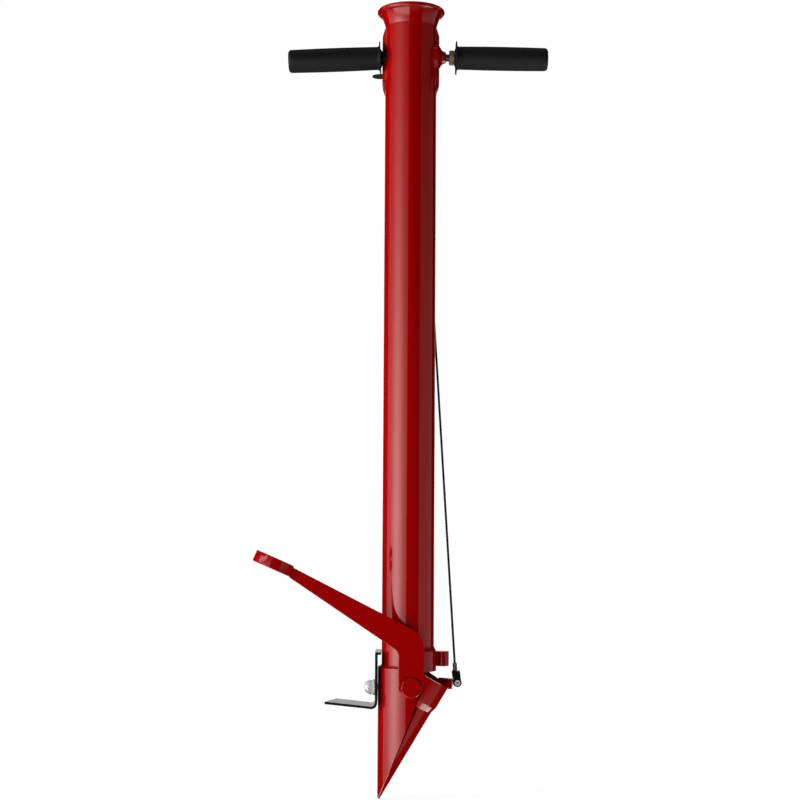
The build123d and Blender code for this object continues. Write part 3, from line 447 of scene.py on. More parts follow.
def prism(outline: Sequence[Pair], low: float, high: float) -> Piece:
    """Raise an outline seen from above into a solid.

    Args:
        outline: Pairs of X and Y round the outline, in millimetres.
        low: Height of its foot.
        high: Height of its top.

    Returns:
        A closed mesh object.
    """
    piece = trace([Vector((x, y, low)) / METRE for x, y in [*outline, outline[0]]])
    bpy.ops.mesh.remove_doubles(threshold=MERGE)
    bpy.ops.mesh.edge_face_add()
    bpy.ops.mesh.extrude_region_move(TRANSFORM_OT_translate={"value": (0, 0, (high - low) / METRE)})
    close_mesh()
    return piece


def lathe(section: Sequence[Pair], origin: Sequence[float], way: Sequence[float], steps: int = 96) -> Piece:
    """Turn a half section about an axis by extruding its outline and spinning it.

    Args:
        section: Pairs of distance along the axis and radius, in millimetres.
        origin: Point on the axis, in millimetres.
        way: Direction of the axis.
        steps: Faces round the piece.

    Returns:
        A closed mesh object.
    """
    along = Vector(way).normalized()
    across = along.orthogonal().normalized()
    base = Vector(origin) / METRE
    piece = trace([base + along * (s / METRE) + across * (r / METRE) for s, r in section])
    bpy.ops.mesh.spin(steps=steps, angle=tau, center=base, axis=along)
    close_mesh()
    return piece


def wire(path: Sequence[Vector], radius: float, ripple: float = 0.0, closed: bool = False) -> Piece:
    """Run a round wire or weld bead along points.

    Args:
        path: Points in millimetres.
        radius: Radius of the wire in millimetres.
        ripple: Share by which every other point is thinner, as in a weld bead.
        closed: Whether the last point joins the first.

    Returns:
        A mesh object.
    """
    curve = bpy.data.curves.new("wire", "CURVE")
    curve.dimensions = "3D"
    curve.bevel_depth = radius / METRE
    curve.bevel_resolution = 3
    curve.use_fill_caps = not closed
    spline = curve.splines.new("POLY")
    spline.points.add(len(path) - 1)
    for i, (knot, point) in enumerate(zip(spline.points, path)):
        knot.co = (*(point / METRE), 1.0)
        knot.radius = 1.0 - ripple * (i % 2)
    spline.use_cyclic_u = closed
    piece = bpy.data.objects.new("wire", curve)
    bpy.context.scene.collection.objects.link(piece)
    pick(piece)
    bpy.ops.object.convert(target="MESH")
    piece = bpy.context.object
    bpy.ops.object.mode_set(mode="EDIT")
    close_mesh()
    shade(piece, WIRE_CREASE)
    return piece


def coil_along(piece: Piece, turns: float, pitch: float, steps: int) -> None:
    """Wind a profile into a helix about Z and close its ends.

    Args:
        piece: Mesh object with the profile.
        turns: Number of turns.
        pitch: Rise of each turn in metres.
        steps: Faces in each turn.
    """
    faces = round(steps * turns)
    helix = {"angle": tau * turns, "screw_offset": pitch * turns}
    apply_modifier(piece, "SCREW", steps=faces, render_steps=faces, **helix)
    bpy.ops.object.mode_set(mode="EDIT")
    bpy.ops.mesh.select_all(action="SELECT")
    bpy.ops.mesh.remove_doubles(threshold=MERGE)
    bpy.ops.mesh.fill_holes(sides=0)
    close_mesh()


def stand_along(piece: Piece, foot: Vector, way: Vector) -> None:
    """Lay a piece that was made along Z in another direction.

    Args:
        piece: Mesh object with its foot at the origin.
        foot: Where its foot goes, in millimetres.
        way: The direction.
    """
    turn = Vector((0, 0, 1)).rotation_difference(way)
    piece.matrix_world = Matrix.Translation(foot / METRE) @ turn.to_matrix().to_4x4()
    settle(piece)


class Rays(Enum):
    """Rays that a patch of the studio shows to."""

    ALL = "all"
    GLOSS = "gloss"
    SHOWN = "shown"


@dataclass(frozen=True)
class Softbox:
    """Bright patch of the studio round the tool, in degrees.

    Azimuth 0 is towards the camera and minus 90 towards -X. Edge, middle and spread each give azimuth first.
    With a spread, the light fades from the middle to about a third at that distance.
    """

    azimuth: Pair
    elevation: Pair
    edge: Pair
    strength: float
    rays: Rays = Rays.ALL
    middle: Pair = (0.0, 0.0)
    spread: Pair = (0.0, 0.0)

    def share(self, tree: Tree, angles: Sequence[Socket]) -> Socket:
        """Give how much of the patch's strength each direction gets.

        Args:
            tree: Node tree of the world.
            angles: Azimuth and elevation in radians.

        Returns:
            Socket with a share from 0 to 1.
        """
        shares = []
        for angle, limits, edge in zip(angles, (self.azimuth, self.elevation), self.edge):
            for limit, before in zip(limits, (0.0, 1.0)):
                ends = {"From Min": radians(limit - edge / 2), "From Max": radians(limit + edge / 2)}
                ramp = {"Value": angle, **ends, "To Min": before, "To Max": 1.0 - before}
                side = add_node(tree, "MapRange", ramp, interpolation_type="SMOOTHSTEP")
                shares.append(side.outputs["Result"])
        for angle, middle, spread in zip(angles, self.middle, self.spread):
            if spread:
                ends = {"From Min": radians(middle), "From Max": radians(middle + spread)}
                off = add_node(tree, "MapRange", {"Value": angle, **ends}, clamp=False).outputs[0]
                square = add_node(tree, "Math", {0: off, 1: off}, operation="MULTIPLY").outputs[0]
                glow = add_node(tree, "Math", {0: exp(-1), 1: square}, operation="POWER")
                shares.append(glow.outputs[0])
        whole = shares[0]
        for share in shares[1:]:
            whole = add_node(tree, "Math", {0: whole, 1: share}, operation="MULTIPLY").outputs[0]
        return whole


SOFTBOXES = (
    # Tall softbox on the left, and its lamp behind the cloth.
    Softbox((-109, -9), (-45, 45), (1.5, 20), 0.82, middle=(0, -3), spread=(0, 15.5)),
    Softbox((-109, -9), (-45, 45), (1.5, 20), 4.05, middle=(-54, -3), spread=(24, 14)),
    # Weaker softbox on the right.
    Softbox((47, 121), (-30, 34), (1.5, 12), 0.43, middle=(0, -6), spread=(0, 18)),
    # Ceiling, and the floor from behind round the left to the right.
    Softbox((-190, 190), (60, 100), (1, 16), 0.35),
    Softbox((-190, 106), (-100, -35), (22, 20), 0.52),
    # White cards, low in front, low on the right and high on the left, seen only in the gloss.
    Softbox((-74, -8), (-46, -21), (5, 9), 2.6, Rays.GLOSS),
    Softbox((64, 126), (-66, -45), (24, 9), 4.4, Rays.GLOSS),
    Softbox((126, 150), (-50, -40), (14, 7), 4.4, Rays.GLOSS),
    Softbox((-84, -38), (19, 26), (10, 3), 3.0, Rays.GLOSS),
    # White backdrop behind the tool, in two halves that meet at 180 degrees.
    Softbox((-200, -166), (-14, 20), (4, 4), 1.0, Rays.SHOWN),
    Softbox((166, 200), (-14, 20), (4, 4), 1.0, Rays.SHOWN),
)


@dataclass(frozen=True)
class Lamp:
    """Soft lamp with its place, aim and size in metres and its power in watts."""

    name: str
    stand: Triple
    aim: Triple
    size: Pair
    power: float

    def build(self) -> None:
        """Stand the lamp so that it lights the tool but isn't mirrored in it."""
        light = bpy.data.lights.new(self.name, "AREA")
        light.shape = "RECTANGLE"
        light.size, light.size_y = self.size
        light.energy = self.power
        lamp = bpy.data.objects.new(self.name, light)
        bpy.context.scene.collection.objects.link(lamp)
        lamp.location = self.stand
        lamp.rotation_euler = (Vector(self.aim) - Vector(self.stand)).to_track_quat("-Z", "Y").to_euler()
        lamp.visible_glossy = False
        lamp.visible_camera = False


LAMPS = (
    Lamp("side_lamp", (-2.6, -0.5, 0.5), (0.0, 0.0, 0.36), (1.0, 1.8), 42.0),
    Lamp("low_lamp", (0.3, -0.2, -0.155), (0.3, -0.2, 1.0), (2.0, 2.0), 6.5),
)


@dataclass
class Studio:
    """Camera, floor and light: lens in millimetres, places in metres and angles in degrees."""

    lens: float = 72.0
    stand: Triple = (-0.011591, -2.039716, 0.214941)
    pitch: float = 3.576
    roll: float = 0.33
    floor_radius: float = 1.5
    floor_height: float = -0.1605
    floor_sides: int = 96
    floor_tone: str = "#F4F4F4"
    floor_shadow: float = 0.25
    floor_glow: float = 1.25
    white: str = "#FFFFFF"
    # Linear light, with an alpha of 1.
    tint: tuple[float, float, float, float] = (1.0, 0.985, 0.965, 1.0)
    ambient: float = 0.1

    def build(self) -> None:
        """Set up the camera, the floor and the light."""
        bpy.context.scene.view_settings.view_transform = "Standard"
        self.build_camera()
        self.build_floor()
        self.build_light()
        for lamp in LAMPS:
            lamp.build()
        log.info("studio: camera, floor and light")

    def build_camera(self) -> None:
        """Place the camera as the photograph was taken."""
        camera = bpy.data.objects.new("camera", bpy.data.cameras.new("camera"))
        bpy.context.scene.collection.objects.link(camera)
        camera.data.lens = self.lens
        tilt = Matrix.Rotation(radians(90 + self.pitch), 4, "X")
        roll = Matrix.Rotation(radians(self.roll), 4, "Z")
        camera.matrix_world = Matrix.Translation(self.stand) @ tilt @ roll
        bpy.context.scene.camera = camera

    def build_floor(self) -> None:
        """Lay a pale round floor that keeps the tool's shadow and fades into the white behind it."""
        pick()
        place = (0, 0, self.floor_height)
        bpy.ops.mesh.primitive_circle_add(
            vertices=self.floor_sides, radius=self.floor_radius, fill_type="NGON", location=place
        )
        floor = bpy.context.object
        floor.name = "floor"
        settle(floor)
        material = bpy.data.materials.new("pale_studio_floor")
        material.use_nodes = True
        tree = material.node_tree
        tree.nodes.clear()
        matt = add_node(tree, "BsdfDiffuse", {"Color": linear(self.floor_tone)}).outputs[0]
        glow = {"Color": linear(self.white), "Strength": self.floor_glow}
        white = add_node(tree, "Emission", glow).outputs[0]
        bright = {0: self.shown_rays(tree), 1: 1 - self.floor_shadow}
        share = add_node(tree, "Math", bright, operation="MULTIPLY").outputs[0]
        mixed = add_node(tree, "MixShader", {0: share, 1: matt, 2: white})
        add_node(tree, "OutputMaterial", {"Surface": mixed.outputs["Shader"]})
        floor.data.materials.append(material)
        # The gloss mirrors the studio, which carries on below the floor.
        floor.visible_glossy = False

    def shown_rays(self, tree: Tree) -> Socket:
        """Pick out the rays that show the background: from the camera, in a reflection or through glass.

        Args:
            tree: Node tree of the floor or the world.

        Returns:
            Socket with 1 for those rays.
        """
        path = add_node(tree, "LightPath").outputs
        shown = path["Is Camera Ray"]
        for rays in ("Is Glossy Ray", "Is Transmission Ray"):
            shown = add_node(tree, "Math", {0: shown, 1: path[rays]}, operation="MAXIMUM").outputs[0]
        return shown

    def build_light(self) -> None:
        """Light the tool with the studio's bright patches, before white for the camera."""
        world = bpy.data.worlds.new("studio")
        bpy.context.scene.world = world
        world.use_nodes = True
        tree = world.node_tree
        tree.nodes.clear()
        way = add_node(tree, "TexCoord").outputs["Generated"]
        parts = add_node(tree, "SeparateXYZ", {"Vector": way}).outputs
        toward = add_node(tree, "Math", {0: parts["Y"], 1: -1.0}, operation="MULTIPLY").outputs[0]
        azimuth = add_node(tree, "Math", {0: parts["X"], 1: toward}, operation="ARCTAN2").outputs[0]
        elevation = add_node(tree, "Math", {0: parts["Z"]}, operation="ARCSINE").outputs[0]
        lit: dict[Rays, Any] = {Rays.ALL: self.ambient, Rays.GLOSS: 0.0, Rays.SHOWN: -self.ambient}
        for box in SOFTBOXES:
            added = {0: box.share(tree, (azimuth, elevation)), 1: box.strength, 2: lit[box.rays]}
            lit[box.rays] = add_node(tree, "Math", added, operation="MULTIPLY_ADD").outputs[0]
        path = add_node(tree, "LightPath").outputs
        light = lit[Rays.ALL]
        for rays, only in ((Rays.GLOSS, path["Is Glossy Ray"]), (Rays.SHOWN, self.shown_rays(tree))):
            added = {0: lit[rays], 1: only, 2: light}
            light = add_node(tree, "Math", added, operation="MULTIPLY_ADD").outputs[0]
        warm = add_node(tree, "Background", {"Color": self.tint, "Strength": light}).outputs[0]
        white = add_node(tree, "Background", {"Color": linear(self.white)}).outputs[0]
        mixed = add_node(tree, "MixShader", {0: path["Is Camera Ray"], 1: warm, 2: white})
        add_node(tree, "OutputWorld", {"Surface": mixed.outputs["Shader"]})


@dataclass
class Head:
    """Tube with its flared mouth, the half sleeve behind it and two bosses, in millimetres and degrees."""

    bore_radius: float = 31.5
    tube_radius: float = 33.0
    tube_straight: float = 825.0
    tube_lengths: int = 8
    tube_crease: float = 11.0
    flare_run: Pair = (18.0, 6.55)
    flare_pull: Pair = (9.0, 1.9)
    flare_steps: int = 10
    lip_at: Pair = (844.86, 40.132)
    lip_radius: float = 3.4
    lip_steps: int = 24
    mouth_steps: int = 160
    saddle_radius: float = 36.8
    saddle_run: Pair = (727.0, 823.0)
    saddle_front: Pair = (755.0, 822.0)
    saddle_taper: Pair = (10.0, 2.9)
    saddle_edge: float = 0.4
    saddle_margin: float = 1.0
    fillet_radius: float = 12.0
    fillet_inset: float = 1.0
    fillet_turn: Pair = (4.3, 58.7)
    fillet_steps: int = 12
    root_sunk: float = 0.6
    root_turn: float = 3.4
    bar_gap: Pair = (779.0, 795.0)
    boss_gap: Pair = (771.0, 803.0)
    boss_edge: float = 0.9
    trigger_boss_edge: float = 0.4
    trigger_at: Pair = (-21.5, 742.0)
    seam_radius: float = 8.2
    seam_steps: int = 48
    bead: float = 0.8
    ripple: float = 0.15

    def build(self) -> None:
        """Dress the head."""
        self.build_tube()
        self.build_saddle()
        bosses = {"right_handle_boss": self.boss_edge, "trigger_boss": self.trigger_boss_edge}
        fit_eased(bosses, "_painted", Body.FRAME, Finishes.GLOSS_ENAMEL)
        self.build_weld()

    def flare(self, s: float, radius: float) -> Pair:
        """Point along and out from the tube's axis, a share s of the way from a wall's crease to the lip."""
        along, out = (2 * s * (1 - s) * p + s**2 * r for p, r in zip(self.flare_pull, self.flare_run))
        return self.tube_straight + along, radius + out

    def build_tube(self) -> None:
        """Turn the tube with a crease where its mouth flares, and the rolled lip on top."""
        shares = spaced(0, 1, self.flare_steps)
        outside = [self.flare(share, self.tube_radius) for share in shares]
        inside = [self.flare(share, self.bore_radius) for share in reversed(shares)]
        lengths = spaced(0, self.tube_straight, self.tube_lengths)[:-1]
        foot = (0.0, self.bore_radius)
        section = [foot, *((along, self.tube_radius) for along in lengths), *outside, *inside, foot]
        tube = lathe(section, *TUBE_AXIS, self.mouth_steps)
        shade(tube, self.tube_crease)
        lip = lathe(arc(self.lip_at, self.lip_radius, 0, 360, self.lip_steps), *TUBE_AXIS, self.mouth_steps)
        shade(lip, WIRE_CREASE)
        join(tube, lip)
        fit(tube, "main_tube_painted", Body.FRAME, Finishes.GLOSS_ENAMEL, "main_tube")

    def build_saddle(self) -> None:
        """Taper the top of the half sleeve down to the tube, and fill its front edges with a smooth weld."""
        red = Finishes.GLOSS_ENAMEL
        foot, top = self.saddle_run
        long, deep = self.saddle_taper
        low, out = foot - self.saddle_margin, self.saddle_radius + self.saddle_margin
        slope = [(top - long * (1 + self.saddle_margin / deep), out), (top, self.saddle_radius - deep)]
        turned = [(low, 0.0), (low, out), *slope, (top, 0.0)]
        saddle = copy_solid("handle_saddle")
        cut(saddle, lathe(turned, *TUBE_AXIS, CUTTER_STEPS), "INTERSECT")
        ease(saddle, self.saddle_edge)
        fit(saddle, "handle_saddle_painted", Body.FRAME, red, "handle_saddle")
        low, high = self.saddle_front
        for name, side, gap in (("left", -1.0, self.bar_gap), ("right", 1.0, self.boss_gap)):
            weld = prism(self.fillet(side), low, gap[0])
            upper = prism(self.fillet(side), gap[1], high)
            cut(upper, lathe(turned, *TUBE_AXIS, CUTTER_STEPS), "INTERSECT")
            join(weld, upper)
            shade(weld, CHAMFER_CREASE)
            fit(weld, f"saddle_weld_{name}", Body.FRAME, red)

    def fillet(self, side: float) -> list[Pair]:
        """Outline of the weld between the tube and a front edge of the half sleeve, seen from above.

        Args:
            side: -1 for the left edge and 1 for the right one.

        Returns:
            Pairs of X and Y.
        """
        centre = (self.saddle_radius - self.fillet_radius, self.fillet_inset)
        face = arc(centre, self.fillet_radius, *self.fillet_turn, self.fillet_steps)
        x, y = face[-1]
        last = degrees(atan2(y, x))
        root = arc((0.0, 0.0), self.tube_radius - self.root_sunk, last, self.root_turn)
        return [(side * x, -y) for x, y in face + root]

    def build_weld(self) -> None:
        """Run a weld bead round the trigger's boss, where it meets the half sleeve."""
        rim = arc(self.trigger_at, self.seam_radius, 0, 360, self.seam_steps)[:-1]
        seam = [Vector((x, sqrt(self.saddle_radius**2 - x**2), z)) for x, z in rim]
        bead = wire(seam, self.bead, self.ripple, closed=True)
        fit(bead, "trigger_boss_weld", Body.FRAME, Finishes.GLOSS_ENAMEL)


@dataclass
class Handle:
    """Hand grip on one side of the head, in millimetres along its own axis and degrees."""

    side: str
    turn: float
    start: float
    droop: float
    # Reach of the grip's black sleeve in towards the tube: a dark piece put as painted shade, for the shade
    # and dark reflection beside the flange.
    sleeve: float
    height: float = 787.0
    length: float = 120.8
    bore: float = 9.05
    bore_end: float = 112.6
    sleeve_wall: float = 0.2
    hub: float = 10.25
    hub_root: float = 12.6
    hub_length: float = 1.5
    flange: float = 21.4
    flange_thickness: float = 1.7
    flange_round: float = 0.6
    root: float = 14.7
    root_round: float = 2.5
    belly: float = 0.55
    belly_steps: int = 24
    end_round: float = 4.2
    end_steps: int = 8
    dish_rim: float = 4.5
    dish_floor: float = 3.6
    dish_depth: float = 0.7
    crease: float = 50.0

    def way(self) -> Vector:
        """Direction of the handle, out from the tube."""
        out, down = polar(1.0, self.droop)
        return Vector((self.turn * out, 0, -down))

    def point(self, along: float) -> Vector:
        """Point on the handle's axis at a distance from the tube's."""
        return Vector((0, 0, self.height)) + self.way() * along

    def section(self) -> list[Pair]:
        """Half section of the grip, from its bore round to its end.

        Returns:
            Pairs of distance along the axis and radius.
        """
        face, back = self.hub_length, self.hub_length + self.flange_thickness
        turn, wall = self.flange_round, self.bore + self.sleeve_wall
        # The bore runs out through a black sleeve towards the tube, painted shade beside the flange.
        inner = [(self.bore_end, 0.0), (self.bore_end, self.bore), (-self.sleeve, self.bore)]
        inner += [(-self.sleeve, wall), (0.0, wall), (0.0, self.hub), (face, self.hub_root)]
        rim = arc((face + turn, self.flange - turn), turn, 180, 90)
        rim += arc((back - turn, self.flange - turn), turn, 90, 0)
        first, last = back + self.root_round, self.length - self.end_round
        fillet = arc((first, self.root + self.root_round), self.root_round, 180, 270)
        places = zip(spaced(first, last, self.belly_steps), spaced(0, pi, self.belly_steps))
        belly = [(along, self.root + self.belly * sin(angle)) for along, angle in places][1:-1]
        end = arc((last, self.root - self.end_round), self.end_round, 90, 0, self.end_steps)
        floor = self.length - self.dish_depth
        dish = [(self.length, self.dish_rim), (floor, self.dish_floor), (floor, 0.0)]
        return inner + rim + fillet + belly + end + dish

    def build(self) -> None:
        """Turn the grip, and paint the bar inside it black as painted shade in the gap between the flange and
        the tube.
        """
        grip = lathe(self.section(), self.point(self.start), self.way())
        shade(grip, self.crease)
        fit(grip, self.side + "_grip_moulded", Body.FRAME, Finishes.MOULDED_PVC, self.side + "_grip")
        paint_solids(Finishes.SATIN_POWDER, self.side + "_handle_bar")


@dataclass
class HandleStud:
    """Threaded stud and lock nut between the boss and the right grip, in millimetres along the handle."""

    handle: Handle
    stud_run: Pair = (36.05, 80.9)
    stud_radius: float = 5.0
    thread_depth: float = 0.75
    thread_pitch: float = 1.5
    thread_crest: Pair = (0.45, 0.55)
    thread_steps: int = 32
    nut_start: float = 49.3
    nut_height: float = 6.6
    nut_width: float = 17.0
    nut_edge: float = 0.05
    nut_margin: float = 0.2
    chamfer_inset: float = 0.3
    chamfer_slope: float = 0.5
    nut_crease: float = 25.0

    def build(self) -> None:
        """Cut the thread and chamfer the nut."""
        self.build_thread()
        nut = copy_solid("right_jam_nut")
        ease(nut, self.nut_edge, segments=1)
        out = self.nut_width / sqrt(3) + self.nut_margin
        face = self.nut_width / 2 - self.chamfer_inset
        section = [(0.0, 0.0), (0.0, face), ((out - face) * self.chamfer_slope, out)]
        section += [(self.nut_height - along, radius) for along, radius in reversed(section)]
        barrel = lathe(section, self.handle.point(self.nut_start), self.handle.way(), CUTTER_STEPS)
        cut(nut, barrel, "INTERSECT")
        shade(nut, self.nut_crease)
        fit(nut, "right_jam_nut_plated", Body.FRAME, Finishes.YELLOW_PASSIVATE, "right_jam_nut")

    def build_thread(self) -> None:
        """Wind one ridge of thread along the stud."""
        start, end = self.stud_run
        turns = round((end - start) / self.thread_pitch) - 1
        crest, pitch = self.stud_radius / METRE, self.thread_pitch / METRE
        root = crest - self.thread_depth / METRE
        ridge = [(root, 0.0), *((crest, share) for share in self.thread_crest), (root, 1.0)]
        stud = trace([Vector((radius, 0, pitch * share)) for radius, share in ridge])
        coil_along(stud, turns, pitch, self.thread_steps)
        stand_along(stud, self.handle.point(start), self.handle.way())
        shade(stud, ROUNDED_CREASE)
        fit(stud, "right_stud_threaded", Body.FRAME, Finishes.DRAWN_STEEL, "right_stud")


@dataclass
class Beak:
    """Fixed jaw and moving jaw with their pivot and stop, in millimetres and degrees."""

    sheet_edge: float = 0.5
    stop_edge: float = 0.6
    spool_edge: float = 0.4
    lug_edge: float = 0.8
    shell_edge: float = 0.35
    jaw_radius: float = 37.5
    beak_length: float = 159.3
    parting_angle: float = 21.9
    parting_gap: float = 0.3
    parting_taper: float = 1.0
    cutter: float = 400.0
    # Name, height, and first and last angle from +X of each weld bead round the tube.
    seams: tuple[tuple[str, float, float, float], ...] = (
        ("fixed_jaw_weld", 7.5, 57.5, 302.5),
        ("stop_bracket_weld", 30.4, -53.0, 53.0),
    )
    seam_radius: float = 33.15
    seam_step: float = 2.0
    bead: float = 0.7
    ripple: float = 0.12

    def build(self) -> None:
        """Dress both jaws and run the weld beads round the tube."""
        red, sheet = Finishes.GLOSS_ENAMEL, self.sheet_edge
        fixed = {"fixed_jaw": sheet, "stop_bracket": sheet, "stop_boss": self.stop_edge}
        fit_eased({**fixed, "far_spool": self.spool_edge}, "_painted", Body.FRAME, red)
        self.build_shell()
        moving = {"jaw_collar": sheet, "far_eye": sheet, "jaw_lug": self.lug_edge}
        fit_eased(moving, "_painted", Body.JAW, red)
        paint_solids(red, "near_pivot_cap")
        paint_solids(Finishes.DRAWN_STEEL, "near_trunnion", "far_trunnion", "spring_anchor", "spring_catch")
        paint_solids(Finishes.TURNED_BRONZE, "near_bush", "far_bush")
        for name, height, start, end in self.seams:
            ring = arc((0.0, 0.0), self.seam_radius, start, end, round((end - start) / self.seam_step))
            bead = wire([Vector((x, y, height)) for x, y in ring], self.bead, self.ripple)
            fit(bead, name, Body.FRAME, red)

    def build_shell(self) -> None:
        """Trim the moving shell's near side, so that a dark line parts the jaws and narrows to the point."""
        shell = copy_solid("jaw_shell")
        parting = radians(self.parting_angle + self.parting_taper)
        away = Vector((cos(parting), 0, -sin(parting)))
        tip = Vector((-self.jaw_radius, 0, -self.beak_length))
        half = self.cutter / 2
        pick()
        bpy.ops.mesh.primitive_cube_add(
            size=self.cutter / METRE,
            location=(tip + away * (self.parting_gap - half) + Vector((0, -half, 0))) / METRE,
            rotation=(0, parting, 0),
        )
        cut(shell, bpy.context.object, "DIFFERENCE")
        ease(shell, self.shell_edge)
        fit(shell, "jaw_shell_painted", Body.JAW, Finishes.GLOSS_ENAMEL, "jaw_shell")


@dataclass
class ClosingSpring:
    """Torsion spring behind the pivot, in millimetres."""

    pivot: Pair = (4.4, -17.0)
    start: float = 46.3
    pitch: float = 3.6
    quarters: int = 11
    quarter_steps: int = 8
    coil_radius: float = 12.0
    wire_radius: float = 1.5
    catch_leg: float = 25.6
    anchor_leg: float = 33.0

    def point(self, quarter: float) -> Vector:
        """Point on the coil, counted in quarter turns from its top."""
        x, z = polar(self.coil_radius, 90 * (quarter + 1))
        return Vector((self.pivot[0] + x, self.start + self.pitch * quarter / 4, self.pivot[1] + z))

    def way(self, quarter: float) -> Vector:
        """Direction of the wire at that point."""
        x, z = polar(tau * self.coil_radius, 90 * (quarter + 2))
        return Vector((x, self.pitch, z)).normalized()

    def build(self) -> None:
        """Wind the spring, on no body, with its place put into its mesh."""
        first = self.point(0) - self.way(0) * self.catch_leg
        last = self.point(self.quarters) + self.way(self.quarters) * self.anchor_leg
        coil = [self.point(at) for at in spaced(0, self.quarters, self.quarter_steps * self.quarters)]
        spring = wire([first, *coil, last], self.wire_radius)
        fit(spring, "closing_spring_wound", None, Finishes.TEMPERED_WIRE, "closing_spring")
        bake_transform(spring)


@dataclass
class Pedal:
    """Pedal ring and its arm, in millimetres and degrees."""

    centre: Triple = (-168.3, -40.3, 135.6)
    lean: float = 23.4
    ring_tip: float = 3.9
    ring_inset: float = 0.4
    ring_radius: float = 25.0
    ring_wall: float = 5.0
    ring_depth: float = 14.3
    ring_edge: float = 0.8
    ring_steps: int = 128
    arm_half: float = 2.1
    arm_edge: float = 0.7
    arm_segments: int = 3
    seam: Pair = (-6.2, 6.2)
    seam_steps: int = 12
    bead: float = 0.7
    ripple: float = 0.15

    def build(self) -> None:
        """Dress the arm and weld it to the ring."""
        red = Finishes.GLOSS_ENAMEL
        fit_eased({"pedal_arm": self.arm_edge}, "_painted", Body.JAW, red, self.arm_segments)
        self.build_ring()
        axis = self.axis()
        across = Vector((axis.z, 0, -axis.x))
        out = sqrt(self.ring_radius**2 - self.arm_half**2)
        for name, side in (("near", -1), ("far", 1)):
            base = Vector(self.centre) + across * out + Vector((0, side * self.arm_half, 0))
            points = [base + axis * along for along in spaced(*self.seam, self.seam_steps)]
            fit(wire(points, self.bead, self.ripple), f"pedal_weld_{name}", Body.JAW, red)

    def axis(self) -> Vector:
        """Axis of the ring before it is tipped."""
        up, out = polar(1.0, self.lean)
        return Vector((out, 0, up))

    def build_ring(self) -> None:
        """Turn the ring with rounded rims, its near side tipped up a little."""
        half, edge = self.ring_depth / 2 - self.ring_edge, self.ring_edge
        outer, inner = self.ring_radius - edge, self.ring_radius - self.ring_wall + edge
        section = arc((half, outer), edge, 90, 0) + arc((half, inner), edge, 0, -90)
        section += arc((-half, inner), edge, -90, -180) + arc((-half, outer), edge, 180, 90)
        tip = radians(self.ring_tip)
        way = self.axis() * cos(tip) + Vector((0, sin(tip), 0))
        centre = Vector(self.centre) + Vector((0, self.ring_inset, 0))
        ring = lathe([*section, section[0]], centre, way, self.ring_steps)
        shade(ring, ROUNDED_CREASE)
        fit(ring, "pedal_ring_painted", Body.JAW, Finishes.GLOSS_ENAMEL, "pedal_ring")


@dataclass
class Cable:
    """Wire rope with its fork at the foot and its eye at the trigger, in millimetres."""

    foot: Triple = (61.0, 27.0, -2.654)
    top: Triple = (14.538, 48.9, 732.0)
    tail: float = 4.5
    top_end: float = 9.2
    radius: float = 1.5
    strands: int = 6
    strand_radius: float = 0.53
    strand_sides: int = 8
    lay: float = 20.0
    lay_steps: int = 16
    fork_edge: float = 0.3
    fitting_edge: float = 0.25
    pin_foot: Triple = (63.8, 20.2, -17.65)
    pin_way: Triple = (0.0, 1.0, 0.0)
    # Half section from the hollow round the head to the foot, as distance along the pin and radius.
    pin_hollow: tuple[Pair, ...] = ((5.0, 0.0), (5.0, 1.6), (0.3, 1.6), (0.0, 1.9))
    pin_head: tuple[Pair, ...] = ((0.0, 3.2), (0.4, 3.6), (1.5, 3.6), (1.5, 2.5))
    pin_shank: tuple[Pair, ...] = ((12.8, 2.5), (13.1, 2.2), (13.1, 0.0))
    pin_steps: int = 48

    def build(self) -> None:
        """Lay the rope and dress its fittings."""
        self.build_rope()
        edge, zinc = self.fitting_edge, Finishes.BRIGHT_ZINC
        fit_eased({"cable_clevis": self.fork_edge}, "_painted", Body.CABLE, Finishes.SATIN_POWDER)
        fit_eased({"cable_ferrule": edge}, "_drawn", Body.CABLE, Finishes.DRAWN_STEEL)
        fit_eased({"cable_top_eye": edge}, "_plated", Body.CABLE, zinc)
        fit_eased({"cable_eye_bolt": edge, "cable_eye_nut": edge}, "_plated", Body.JAW, zinc)
        self.build_pin()

    def build_rope(self) -> None:
        """Lay the strands round the rope's middle, from the fork to the eye."""
        foot, top = Vector(self.foot), Vector(self.top)
        way = (top - foot).normalized()
        turns = ((top - foot).length - self.top_end + self.tail) / self.lay
        strands = []
        for number in range(self.strands):
            pick()
            bpy.ops.mesh.primitive_circle_add(
                vertices=self.strand_sides,
                radius=self.strand_radius / METRE,
                location=((self.radius - self.strand_radius) / METRE, 0, 0),
            )
            strand = bpy.context.object
            settle(strand)
            coil_along(strand, turns, self.lay / METRE, self.lay_steps)
            strand.rotation_euler = (0, 0, tau * number / self.strands)
            settle(strand)
            strands.append(strand)
        join(*strands)
        rope = strands[0]
        stand_along(rope, foot - way * self.tail, way)
        shade(rope, WIRE_CREASE)
        fit(rope, "cable_stranded", Body.CABLE, Finishes.GALVANISED_ROPE, "cable")

    def build_pin(self) -> None:
        """Turn the hollow pin of the fork, whose open end shows as a dark middle in a bright ring."""
        section = self.pin_hollow + self.pin_head + self.pin_shank
        pin = lathe(section, self.pin_foot, self.pin_way, self.pin_steps)
        shade(pin, CHAMFER_CREASE)
        fit(pin, "clevis_pin_plated", Body.CABLE, Finishes.BRIGHT_ZINC, "clevis_pin")


